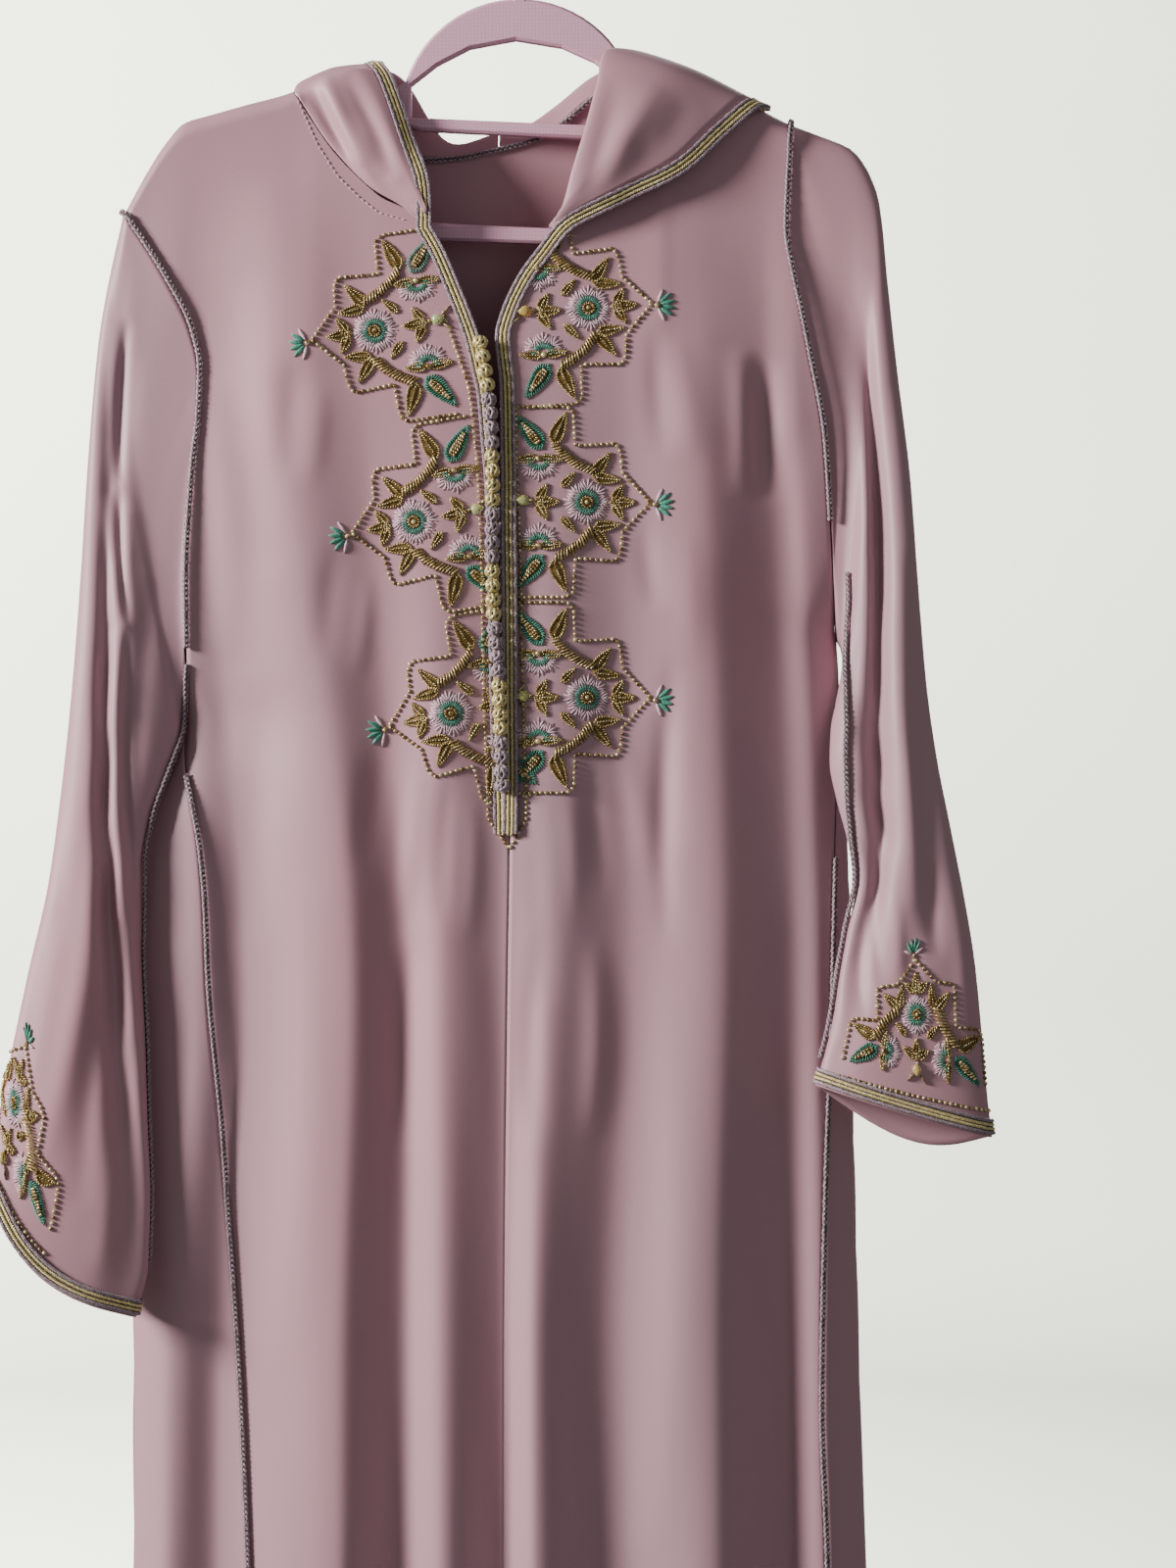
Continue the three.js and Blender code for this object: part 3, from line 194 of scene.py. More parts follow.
HOOD_CREASES = [
    (-128, 118, -104, 168, 5, 2.8), (-120, 112, -92, 170, 5, -3.2), (-106, 112, -76, 178, 6, 3.0),
    (60, 118, 40, 190, 6, 1.8), (84, 122, 52, 186, 7, -2.0), (104, 132, 80, 172, 7, 1.6),
    (-60, 190, -66, 330, 11, 2.6), (-36, 200, -34, 390, 10, -2.6), (10, 200, 12, 390, 11, 2.4),
    (34, 190, 38, 340, 10, -2.4), (74, 150, 78, 270, 9, 2.4), (-92, 140, -96, 260, 9, -2.2),
]

# Sleeves, ring by ring: outer x, drop; inner x, drop; y; front and back depth; crease place and depth; dips
SLEEVE_RIGHT = [
    (-249, 232, -206, 511, -1, 16, 14, 0.15, 1, 0, 0),
    (-256, 275, -207.5, 520, -4.5, 15, 13, 0.18, 4, 0, 0),
    (-262, 350, -215, 541, -9, 15, 12.5, 0.28, 6, 0, 0),
    (-266, 420, -224, 566, -13, 15, 12, 0.38, 8, 0, 0),
    (-271, 490, -230, 596, -17, 15, 11.5, 0.5, 9, 0, 0),
    (-277, 550, -230, 644, -20, 15, 11, 0.64, 10, 1, 1),
    (-284, 605, -227, 700, -24, 15, 11, 0.76, 11, 3, 2),
    (-296, 660, -225, 750, -27, 15, 11, 0.85, 11, 6, 4),
    (-306, 710, -223, 795, -30, 15, 12, 0.9, 8, 10, 7),
    (-314, 755, -224, 835, -32, 15, 12, 0.94, 6, 14, 10),
    (-319, 784, -231, 866, -34, 15, 13, 0.97, 4, 19, 14),
]
SLEEVE_LEFT = [
    (186, 150.5, 195, 458, -1, 15, 14, 0.3, 2, 0, 0),
    (204, 159, 197, 462, -2, 15, 13, 0.34, 4, 0, 0),
    (219, 190, 198, 470, -5, 15, 12, 0.36, 7, 0, 0),
    (224, 240, 197, 481, -9, 15, 11, 0.36, 9, 0, 0),
    (229, 290, 194, 495, -14, 14, 10, 0.36, 11, 0, 0),
    (237, 360, 190, 512, -19, 14, 9, 0.4, 12, 0, 0),
    (241, 420, 189, 532, -24, 14, 9, 0.46, 12, 0, 0),
    (246, 485, 193, 555, -28, 14, 9, 0.56, 12, 0, 0),
    (252, 530, 199, 578, -31, 14, 10, 0.66, 12, 0, 1),
    (260, 572, 204, 605, -34, 14, 10, 0.78, 10, 0, 2),
    (268, 614, 199, 633, -36, 14, 10, 0.86, 8, 0, 5),
    (274, 652, 194, 660, -38, 14, 11, 0.9, 6, 1, 8),
    (278, 694, 190, 685, -40, 14, 12, 0.93, 4, 1, 12),
    (281, 730, 184, 710, -41, 14, 12, 0.95, 3, 1, 16),
    (284, 757, 179, 726, -42, 14, 13, 0.97, 2, 1, 20),
]
CREASE_WIDTH = 0.11
NOSE_AT_SHOULDER, NOSE_AT_CUFF = 0.5, 0.8
NOSE_RINGS = 6

# Hood, section by section from the front of the neck to the centre back: seam x and side, then
# x, y, drop of the rise, the fall, the lower fold, the turn and the edge
HOOD_RIGHT = [
    (-59, -1, -58, -20, 203.6, -57.3, -21, 202, -56.6, -21.5, 200.4, -56, -22, 198.8, -55.4, -22, 197),
    (-72, -1, -70.5, -19, 190, -69, -20.5, 186, -67.5, -21.5, 182, -66, -22, 178, -65, -21.5, 174),
    (-92, -1, -88, -18, 174, -84, -20.5, 167, -80, -21.5, 160.5, -76, -21, 156, -72.5, -19, 154),
    (-115, -1, -110, -14.5, 148, -103, -17, 140, -96, -17.5, 133, -88, -16, 129, -80.5, -14, 130),
    (-130, -1, -125, -11, 126, -117, -12, 119, -108, -12, 114, -98, -11, 111.5, -87, -9.5, 113.5),
    (-135.5, -1, -131.5, -5, 120, -123, -5, 115, -113, -4, 111, -102, -3, 108, -92, -2.5, 106.5),
    (-137.4, 1, -135.5, 3.5, 116.5, -127, 6, 112, -116, 8, 109, -106, 8.5, 106, -96, 9, 103.5),
    (-122, 1, -118, 17, 114, -118, 22, 127, -118, 28, 150, -112, 34, 130, -101, 30, 109),
    (-100, 1, -90, 16, 106, -100, 25, 160, -111, 34, 225, -104, 42, 168, -95, 42, 124),
    (-75, 1, -71, 16, 112, -84, 27, 212, -92, 36, 300, -86, 46, 224, -79, 46, 148),
    (-45, 1, -45, 17, 149, -52, 30, 265, -58, 37, 380, -54, 48, 285, -48, 48, 170),
    (-13.5, 1, -13.5, 17.5, 144, -13.4, 32, 305, -13.3, 38, 430, -13.4, 49, 315, -13.5, 49, 178),
]
HOOD_LEFT = [
    (22, -1, 20.5, -20.5, 210, 19.2, -22, 209, 18.5, -23.5, 208, 18.8, -24.5, 207, 20.3, -25, 208.5),
    (40, -1, 33, -22.5, 202, 28, -26, 202, 25.5, -28.5, 201, 27, -30.5, 197, 31.5, -30, 199.5),
    (62, -1, 49, -23, 181, 38, -28, 178, 33, -31, 174, 47, -34, 172, 65, -29.5, 183),
    (78, -1, 61, -21, 157, 46, -27.5, 152, 40.5, -30.5, 149, 66, -33, 150, 95, -26.5, 167.5),
    (90, -1, 74, -17, 129, 56, -23, 124, 47.5, -26.5, 122, 82, -28.5, 126, 118, -21.5, 146),
    (95.5, -1, 86, -9, 110.5, 67, -13, 102.5, 55, -15.5, 98.5, 92, -19, 110, 136, -15, 130),
    (91, 1, 86.5, 4.5, 104.5, 85, 2.5, 103, 90, 1.5, 105.5, 114, 0.5, 114, 144, 1.5, 127),
    (70, 1, 72, 16, 100, 84, 22, 113, 105, 29, 142, 127, 31, 150, 142, 25, 133),
    (45, 1, 47, 17, 108, 70, 26, 152, 108, 35, 212, 113, 42, 172, 118, 42, 138),
    (22, 1, 24, 17, 126, 50, 27, 212, 84, 37, 300, 81, 46, 222, 85, 46, 152),
    (4, 1, 5, 17, 139, 20, 30, 262, 38, 37, 380, 34, 48, 284, 37, 48, 170),
    (-12.3, 1, -12.3, 17.5, 144, -12.1, 32, 305, -11.9, 38, 430, -12.1, 49, 315, -12.3, 49, 178),
]

# Trims
BRAID_ASIDE = [
    (200, 0, 0), (270, 0.6, 0.6), (305, 4.6, 4.6), (340, 5, 5), (401, 4.4, 3.4), (485, 4.4, 2.4),
    (575, 4.4, 0.4),
]
BRAID_CROSSING = (345, 395)
BRAID_START_LEFT = 224
BUTTON_LINE = [
    (270, -24.5), (303, -19), (335, -16), (365, -15.6), (410, -15.8), (449, -14.4), (479, -12), (546, -9.6),
]
BUTTON_COUNT = 32
BUTTON_FIRST, BUTTON_LAST = 278.6, 546.2
BUTTON_CROSSING = (440, 500)
ARMHOLE_CORD_END_RIGHT, ARMHOLE_CORD_END_LEFT = 462, 385
SIDE_CORD_START_RIGHT, SIDE_CORD_START_LEFT = 540, 590
UNDERARM_RIGHT = (0, [13, 13, 13, 13, 13, 14, 15, 15, 15, 15, 15])
UNDERARM_LEFT = (3, (10, 10, 10, 10, 10, 11, 12, 13, 14, 14, 14, 14))

# Rows of a panel, as shares of the way to the armpit and from there to the hem
UNDERARM_STEPS = 90
UPPER_ROWS = (0, 0.004, 0.012, 0.026, 0.055, 0.11, 0.19, 0.28, 0.38, 0.48, 0.58, 0.69, 0.79, 0.89, 1)


def linear(text):
    """A hex sRGB colour as the linear colour that Blender works in."""
    steps = [int(text[k:k + 2], 16) / 255 for k in (1, 3, 5)]
    return tuple(c / 12.92 if c <= 0.04045 else ((c + 0.055) / 1.055) ** 2.4 for c in steps) + (1.0,)


# ---------------------------------------------------------------- curves and surfaces

def through(xs, ys, at, held=False):
    """Smooth curve through points that never swings past them; past its ends it runs on straight."""
    at = np.asarray(at, float)
    xs = np.broadcast_to(np.asarray(xs, float), at.shape + (np.shape(xs)[-1],))
    ys = np.broadcast_to(np.asarray(ys, float), at.shape + (np.shape(ys)[-1],))
    slope = np.diff(ys) / np.diff(xs)
    product = slope[..., :-1] * slope[..., 1:]
    total = np.where(product > 0, slope[..., :-1] + slope[..., 1:], 1)
    inner = np.where(product > 0, 2 * product / total, 0)
    ends = 0 if held else 1
    tangent = np.concatenate([slope[..., :1] * ends, inner, slope[..., -1:] * ends], -1)
    k = np.clip((at[..., None] > xs).sum(-1) - 1, 0, xs.shape[-1] - 2)[..., None]
    pick = lambda values, shift: np.take_along_axis(values, k + shift, -1)[..., 0]
    x0, y0, m0 = pick(xs, 0), pick(ys, 0), pick(tangent, 0)
    x1, y1, m1 = pick(xs, 1), pick(ys, 1), pick(tangent, 1)
    span = x1 - x0
    t = (at - x0) / span
    c = np.clip(t, 0, 1)
    inside = y0 + (y1 - y0) * c * c * (3 - 2 * c) + span * (m0 * c * (1 - c) ** 2 + m1 * c * c * (c - 1))
    return inside + span * (m0 * np.minimum(t, 0) + m1 * np.maximum(t - 1, 0))


def follow(rows, column=1):
    table = np.array(rows, float).T
    return lambda at: through(table[0], table[column], at)


def held_above(rows):
    line = follow(rows)
    return lambda drop: line(np.maximum(drop, rows[0][0]))


def smooth(t):
    c = np.clip(t, 0, 1)
    return c * c * (3 - 2 * c)


ridge_drop = follow(RIDGE)
front_neck_right = follow(FRONT_NECK_RIGHT)
front_neck_left = follow(FRONT_NECK_LEFT)
back_neck = follow(BACK_NECK)
opening_right = held_above(OPENING_RIGHT)
opening_left = held_above(OPENING_LEFT)
seam_right = held_above(SEAM_RIGHT)
seam_left = held_above(SEAM_LEFT)
flank_right = follow(FLANK, 1)
flank_left = follow(FLANK, 2)
NECK_RIGHT_X, NECK_LEFT_X = -138, 96


def creases(rows, x, drop):
    """How far a set of creases lifts the cloth at each place; each one fades out at both ends."""
    lift = np.zeros(np.shape(x))
    for x1, drop1, x2, drop2, width, out in rows:
        along = np.array([x2 - x1, drop2 - drop1], float)
        length = np.hypot(*along)
        t = ((x - x1) * along[0] + (drop - drop1) * along[1]) / length ** 2
        inside = np.clip(t, 0, 1)
        bow = 0.024 * length * np.sin(math.pi * inside) * (1 if out > 0 else -1)
        away = ((x - x1) * along[1] - (drop - drop1) * along[0]) / length - bow
        fade = np.sin(math.pi * np.clip(inside, 0.001, 0.999)) ** 0.7 * ((t > 0) & (t < 1))
        lift += out * fade * np.exp(-(away / width) ** 2)
    return lift


def fold_field(folds):
    table = np.array(folds, float)

    def field(x, drop):
        height = np.clip(drop, FOLD_DROPS[0], HEM_DROP)
        level = np.asarray(height, float)[..., None] * np.ones(len(folds))
        places = through(FOLD_DROPS, table[:, :4], level)
        outs = through(FOLD_DROPS, table[:, 4:], level)
        return through(places, outs, x, held=True)
    return field


FRONT = {"sign": -1, "chest": CHEST_FRONT, "hem": HEM_FRONT, "fold": fold_field(FRONT_FOLDS),
         "crease": FRONT_CREASES}
BACK = {"sign": 1, "chest": CHEST_BACK, "hem": HEM_BACK, "fold": fold_field(BACK_FOLDS), "crease": BACK_CREASES}


def body_y(x, drop, side, folded=True):
    """Y of the middle of the hanging cloth on one side of the body."""
    x, drop = np.broadcast_arrays(np.asarray(x, float), np.asarray(drop, float))
    right, left = flank_right(drop), flank_left(drop)
    away = np.minimum(np.abs(x - (left + right) / 2) / ((left - right) / 2), 1)
    below = np.maximum(drop - ridge_drop(x), 0)
    turned = np.sqrt(1 - (1 - np.minimum(below / ROLL, 1)) ** 2)
    reach = smooth(below / DRAPE)
    full = side["chest"] + (side["hem"] - side["chest"]) * smooth((drop - ARMPIT_RIGHT) / (HEM_DROP - ARMPIT_RIGHT))
    across = (1 - away ** FLANK_SQUARE) ** FLANK_ROUND
    out = ROLL * (1 - reach) + across * full * reach
    if folded:
        fade = smooth((1 - away) / FOLD_FADE)
        out = out + side["fold"](x, drop) * fade * reach
        out = out + creases(side["crease"], x, drop) * fade * smooth(below / 60)
    return side["sign"] * (RIDGE_GAP + turned * out - RIDGE_GAP * reach)


def place(x, y, drop):
    return np.stack(np.broadcast_arrays(x, y, -np.asarray(drop, float)), -1)


def meet_top(x_at, top, shape):
    """Drop at which each leaning column meets the top edge of its panel."""
    high, low = np.full(shape, 90.0), np.full(shape, 320.0)
    for _ in range(34):
        middle = (high + low) / 2
        above = middle < top(x_at(middle))
        high, low = np.where(above, middle, high), np.where(above, low, middle)
    return (high + low) / 2


def finer(values, steps):
    """A list of shares with more of them, keeping its crowding."""
    places = np.linspace(0, len(values) - 1, (len(values) - 1) * steps + 1)
    return through(np.arange(len(values)), values, places)


def row_drops(top, armpit, upper_steps, lower_count):
    upper = top[..., None] + (np.asarray(armpit) - top)[..., None] * finer(UPPER_ROWS, upper_steps)
    share = np.linspace(0, 1, lower_count + 1)[1:]
    lower = np.asarray(armpit)[..., None] + (HEM_DROP - np.asarray(armpit))[..., None] * share
    return np.concatenate([upper, np.broadcast_to(lower, upper.shape[:-1] + (lower_count,))], -1)


def front_panel(outer, opening, top, armpit, neck):
    at_neck = (outer(neck[1]) - neck[0]) / (outer(neck[1]) - opening(neck[1]))
    shares = np.concatenate([
        np.linspace(0, 1, 37) * at_neck,
        at_neck + (1 - at_neck) * np.linspace(0, 1, 45)[1:],
    ])
    x_at = lambda drop: outer(drop) + (opening(drop) - outer(drop)) * shares
    tops = meet_top(x_at, top, shares.shape)
    drops = row_drops(tops, np.full(shares.shape, float(armpit)), 7, 120)
    x = outer(drops) + (opening(drops) - outer(drops)) * shares[:, None]
    return place(x, body_y(x, drops, FRONT), drops)


def back_sections(drop):
    """Angles round the body and lengths along the cloth, for level sections of the back panel."""
    right, left = flank_right(drop), flank_left(drop)
    middle, half = (left + right) / 2, (left - right) / 2
    angle_of = lambda x: np.arccos(np.clip((x - middle) / half, -1, 1))
    seam_r = seam_right(drop) + np.where(drop > ARMPIT_RIGHT, -SEAM_HALF_GAP, SEAM_HALF_GAP)
    seam_l = seam_left(drop) + np.where(drop > ARMPIT_LEFT, SEAM_HALF_GAP, -SEAM_HALF_GAP)
    start = np.where(drop > ARMPIT_RIGHT, 2 * math.pi - angle_of(seam_r), angle_of(seam_r))
    end = np.where(drop > ARMPIT_LEFT, -angle_of(seam_l), angle_of(seam_l))
    angles = start[..., None] + (end - start)[..., None] * np.linspace(0, 1, 81)
    x = middle[..., None] + half[..., None] * np.cos(angles)
    level = np.broadcast_to(drop[..., None], x.shape)
    in_front = (angles > math.pi) | (angles < 0)
    y = np.where(in_front, body_y(x, level, FRONT, False), body_y(x, level, BACK, False))
    steps = np.hypot(np.diff(x), np.diff(y))
    lengths = np.concatenate([np.zeros(steps.shape[:-1] + (1,)), np.cumsum(steps, -1)], -1)
    return angles, lengths / lengths[..., -1:]


def back_panel(columns=112):
    levels = np.linspace(100, HEM_DROP, 351)
    angles, lengths = back_sections(levels)
    even = np.arange(columns + 1) / columns
    shares = even - 0.42 * np.sin(2 * math.pi * even) / (2 * math.pi)
    table = np.stack([np.interp(shares, lengths[n], angles[n]) for n in range(len(levels))])

    def section(drop):
        """x and angle of every column at its own drops."""
        flat = np.asarray(drop, float)
        place_in = np.clip((flat - levels[0]) / (levels[1] - levels[0]), 0, len(levels) - 1.001)
        low = place_in.astype(int)
        part = place_in - low
        column = np.arange(columns + 1).reshape((-1,) + (1,) * (flat.ndim - 1))
        angle = table[low, column] * (1 - part) + table[low + 1, column] * part
        right, left = flank_right(flat), flank_left(flat)
        return (left + right) / 2 + (left - right) / 2 * np.cos(angle), angle

    def back_top(x):
        return np.where((x > NECK_RIGHT_X) & (x < NECK_LEFT_X), back_neck(x), ridge_drop(x))

    tops = meet_top(lambda drop: section(drop)[0], back_top, shares.shape)
    armpits = ARMPIT_RIGHT + (ARMPIT_LEFT - ARMPIT_RIGHT) * shares
    drops = row_drops(tops, armpits, 6, 110)
    x, angle = section(drops)
    in_front = (angle > math.pi) | (angle < 0)
    y = np.where(in_front, body_y(x, drops, FRONT), body_y(x, drops, BACK))
    return place(x, y, drops)


def sleeve(rows, seam, top_drop, armpit, outward, front_creases, back_creases, half_count=58, long_count=136):
    k = np.arange(2 * half_count)
    angle = math.pi * k / half_count
    share = (1 - np.cos(angle)) / 2
    depth = np.abs(np.sin(angle))
    front = k < half_count
    armhole = np.interp(np.where(front, k, 2 * half_count - k) / half_count * 14, np.arange(15), UPPER_ROWS)
    drop = top_drop + (armpit - top_drop) * armhole
    x = seam(drop) + outward * ARMHOLE_GAP
    rings = [place(x, np.where(front, body_y(x, drop, FRONT), body_y(x, drop, BACK)), drop)]
    for n, (out_x, out_d, in_x, in_d, y, ahead, behind, at, crease, dip, back_dip) in enumerate(rows):
        nose = NOSE_AT_SHOULDER + (NOSE_AT_CUFF - NOSE_AT_SHOULDER) * smooth(n / NOSE_RINGS)
        reach = depth ** nose
        fold = crease * np.exp(-((share - at) / CREASE_WIDTH) ** 2)
        deep = np.where(front, y - ahead * reach + fold * reach, y + behind * reach)
        wide, tall = in_x - out_x, in_d - out_d
        dips = np.where(front, dip, back_dip) * np.sin(math.pi * share)
        rings.append(place(
            out_x + wide * share + outward * dips * abs(tall) / math.hypot(wide, tall),
            deep,
            out_d + tall * share + dips * abs(wide) / math.hypot(wide, tall),
        ))
    rings = np.array(rings)
    middles = rings.mean(1)
    knots = np.concatenate([[0], np.cumsum(np.linalg.norm(np.diff(middles, axis=0), axis=1))])
    at = np.linspace(0, knots[-1], long_count + 1)
    grid = through(knots, np.moveaxis(rings, 0, -1)[..., None, :], np.broadcast_to(
        at, (2 * half_count, 3, long_count + 1)))
    grid = np.moveaxis(grid, 1, -1)
    fade = smooth(at / 60) * (depth[:, None] ** 0.5)
    ahead = creases(front_creases, grid[..., 0], -grid[..., 2])
    behind = creases(back_creases, grid[..., 0], -grid[..., 2])
    grid[..., 1] += np.where(front[:, None], -ahead, behind) * fade
    return grid


def catmull(points, at, even):
    """Catmull-Rom curve through points, at shares from 0 to 1; even for a uniform one."""
    points = np.asarray(points, float)
    last = len(points) - 1
    padded = np.concatenate([[2 * points[0] - points[1]], points, [2 * points[-1] - points[-2]]])
    place_in = np.clip(np.asarray(at) * last, 0, last)
    k = np.minimum(place_in.astype(int), last - 1)
    t = (place_in - k)[:, None]
    p0, p1, p2, p3 = padded[k], padded[k + 1], padded[k + 2], padded[k + 3]
    if even:
        m1, m2 = 0.5 * (p2 - p0), 0.5 * (p3 - p1)
    else:
        gap = lambda a, b: np.maximum(np.linalg.norm(b - a, axis=1), 1e-6)[:, None] ** 0.5
        d0, d1, d2 = gap(p0, p1), gap(p1, p2), gap(p2, p3)
        m1 = ((p1 - p0) / d0 - (p2 - p0) / (d0 + d1) + (p2 - p1) / d1) * d1
        m2 = ((p2 - p1) / d1 - (p3 - p1) / (d1 + d2) + (p3 - p2) / d2) * d1
    return ((2 * t ** 3 - 3 * t ** 2 + 1) * p1 + (t ** 3 - 2 * t ** 2 + t) * m1
            + (3 * t ** 2 - 2 * t ** 3) * p2 + (t ** 3 - t ** 2) * m2)


def hood(rows, sections=88, steps=40):
    lines = []
    seam = []
    for row in rows:
        side = FRONT if row[1] < 0 else BACK
        neck = back_neck if side is BACK else (front_neck_right if row[0] < 0 else front_neck_left)
        slope = (neck(row[0] + 1) - neck(row[0] - 1)) / 2
        away = NECK_GAP / math.hypot(1, slope)
        drop = neck(row[0])
        seam.append(place(row[0] + away * slope, body_y(row[0], drop, side, False), drop - away))
    lines.append(seam)
    for first in (2, 5, 8, 11, 14):
        lines.append([place(row[first], row[first + 1], row[first + 2]) for row in rows])
    at = np.linspace(0, 1, sections + 1)
    carried = np.stack([catmull(line, at, True) for line in lines], 1)
    grid = np.stack([catmull(section, np.linspace(0, 1, steps + 1), False) for section in carried])
    normals = grid_normals(grid, False)
    fade = smooth(np.linspace(0, 1, steps + 1) / 0.15) * smooth(np.linspace(1, 0, steps + 1) / 0.12)
    lift = creases(HOOD_CREASES, grid[..., 0], -grid[..., 2]) * fade
    return grid + normals * lift[..., None] * np.sign(normals[..., 1:2])


def grid_normals(grid, closed):
    if closed:
        across = np.roll(grid, -1, 0) - np.roll(grid, 1, 0)
    else:
        across = np.gradient(grid, axis=0)
    normals = np.cross(across, np.gradient(grid, axis=1))
    return normals / np.maximum(np.linalg.norm(normals, axis=-1, keepdims=True), 1e-9)


# ---------------------------------------------------------------- meshes

def new_mesh(name, vertices, faces, material, uvs=None):
    """A finished mesh object at the origin, from points in millimetres."""
    mesh = bpy.data.meshes.new(name)
    mesh.from_pydata((np.asarray(vertices, float).reshape(-1, 3) * MM).tolist(), [], faces)
    if uvs is not None:
        layer = mesh.uv_layers.new(name="cloth")
        corners = np.zeros(len(mesh.loops), int)
        mesh.loops.foreach_get("vertex_index", corners)
        layer.data.foreach_set("uv", np.asarray(uvs, float)[corners].ravel())
    mesh.polygons.foreach_set("use_smooth", [True] * len(mesh.polygons))
    mesh.validate()
    mesh.update()
    piece = bpy.data.objects.new(name, mesh)
    bpy.context.scene.collection.objects.link(piece)
    if material:
        mesh.materials.append(material)
    return piece


def grid_faces(wide, tall, closed, start=0, flip=False):
    faces = []
    for i in range(wide if closed else wide - 1):
        a, b = start + i * tall, start + ((i + 1) % wide) * tall
        for j in range(tall - 1):
            quad = (a + j, b + j, b + j + 1, a + j + 1)
            faces.append(quad[::-1] if flip else quad)
    return faces


def cloth_shell(name, grid, material, closed=False, thickness=WALL):
    """A thin closed shell over a grid of points, its two faces and all its edges."""
    normals = grid_normals(grid, closed)
    wide, tall = grid.shape[:2]
    count = wide * tall
    outer, inner = grid + normals * thickness / 2, grid - normals * thickness / 2
    faces = grid_faces(wide, tall, closed) + grid_faces(wide, tall, closed, count, True)
    for i in range(wide if closed else wide - 1):
        a, b = i * tall, ((i + 1) % wide) * tall
        faces.append((a, a + count, b + count, b))
        faces.append((a + tall - 1, b + tall - 1, b + tall - 1 + count, a + tall - 1 + count))
    if not closed:
        end = (wide - 1) * tall
        for j in range(tall - 1):
            faces.append((j, j + 1, j + 1 + count, j + count))
            faces.append((end + j, end + j + count, end + j + 1 + count, end + j + 1))
    along = np.concatenate([np.zeros((wide, 1)), np.cumsum(np.linalg.norm(np.diff(grid, axis=1), axis=-1), 1)], 1)
    across = np.concatenate([np.zeros((1, tall)), np.cumsum(np.linalg.norm(np.diff(grid, axis=0), axis=-1), 0)], 0)
    uv = np.stack([across, along], -1).reshape(-1, 2) * MM
    vertices = np.concatenate([outer.reshape(-1, 3), inner.reshape(-1, 3)])
    piece = new_mesh(name, vertices, faces, material, np.concatenate([uv, uv]))
    point_outwards(piece)
    return piece


def point_outwards(piece):
    """Turn every face of a closed shape out, judged by the volume that it holds."""
    mesh = piece.data
    mesh.calc_loop_triangles()
    points = np.zeros(len(mesh.vertices) * 3)
    mesh.vertices.foreach_get("co", points)
    points = points.reshape(-1, 3)
    corners = np.zeros(len(mesh.loop_triangles) * 3, int)
    mesh.loop_triangles.foreach_get("vertices", corners)
    a, b, c = (points[corners.reshape(-1, 3)[:, n]] for n in range(3))
    if np.einsum("ij,ij->i", a, np.cross(b, c)).sum() < 0:
        mesh.flip_normals()


def sideways(path, outs):
    """Unit direction across a path that lies on a surface."""
    along = np.gradient(path, axis=0)
    across = np.cross(along, outs)
    return across / np.maximum(np.linalg.norm(across, axis=1, keepdims=True), 1e-9)


def swept_bar(path, outs, section):
    """A closed bar with a section (across, out) carried along a path: points and faces."""
    across = sideways(path, outs)
    along = np.gradient(path, axis=0)
    square = np.cross(across, along)
    square /= np.maximum(np.linalg.norm(square, axis=1, keepdims=True), 1e-9)
    section = np.asarray(section, float)
    count, steps = len(section), len(path)
    points = (path[:, None] + across[:, None] * section[None, :, :1] + square[:, None] * section[None, :, 1:])
    faces = []
    for k in range(steps - 1):
        for n in range(count):
            m = (n + 1) % count
            faces.append((k * count + n, k * count + m, (k + 1) * count + m, (k + 1) * count + n))
    faces.append(tuple(range(count))[::-1])
    faces.append(tuple((steps - 1) * count + n for n in range(count)))
    return points.reshape(-1, 3), faces


def evenly(path, outs, step):
    """A path and its outward directions at even steps."""
    lengths = np.concatenate([[0], np.cumsum(np.linalg.norm(np.diff(path, axis=0), axis=1))])
    at = np.linspace(0, lengths[-1], max(int(lengths[-1] / step), 2))
    new_path = np.stack([np.interp(at, lengths, path[:, n]) for n in range(3)], 1)
    new_outs = np.stack([np.interp(at, lengths, outs[:, n]) for n in range(3)], 1)
    return new_path, new_outs / np.linalg.norm(new_outs, axis=1, keepdims=True)


# ---------------------------------------------------------------- node trees

def add_node(tree, kind, settings=None, inputs=None):
    """One node with its settings, its input values and the links that come into it."""
    node = tree.nodes.new(kind)
    for key, value in (settings or {}).items():
        setattr(node, key, value)
    for key, value in (inputs or {}).items():
        if isinstance(value, bpy.types.NodeSocket):
            tree.links.new(value, node.inputs[key])
        else:
            node.inputs[key].default_value = value
    return node


def new_geometry_tree(name, sockets):
    tree = bpy.data.node_groups.new(name, "GeometryNodeTree")
    tree.interface.new_socket("Geometry", in_out="INPUT", socket_type="NodeSocketGeometry")
    for socket, (kind, value) in sockets.items():
        item = tree.interface.new_socket(socket, in_out="INPUT", socket_type=kind)
        if value is not None:
            item.default_value = value
    tree.interface.new_socket("Geometry", in_out="OUTPUT", socket_type="NodeSocketGeometry")
    return tree, add_node(tree, "NodeGroupInput").outputs


def close_tree(tree, geometry, material):
    real = add_node(tree, "GeometryNodeRealizeInstances", None, {"Geometry": geometry})
    painted = add_node(tree, "GeometryNodeSetMaterial", None, {
        "Geometry": real.outputs[0], "Material": material})
    add_node(tree, "NodeGroupOutput", None, {"Geometry": painted.outputs[0]})
    return tree


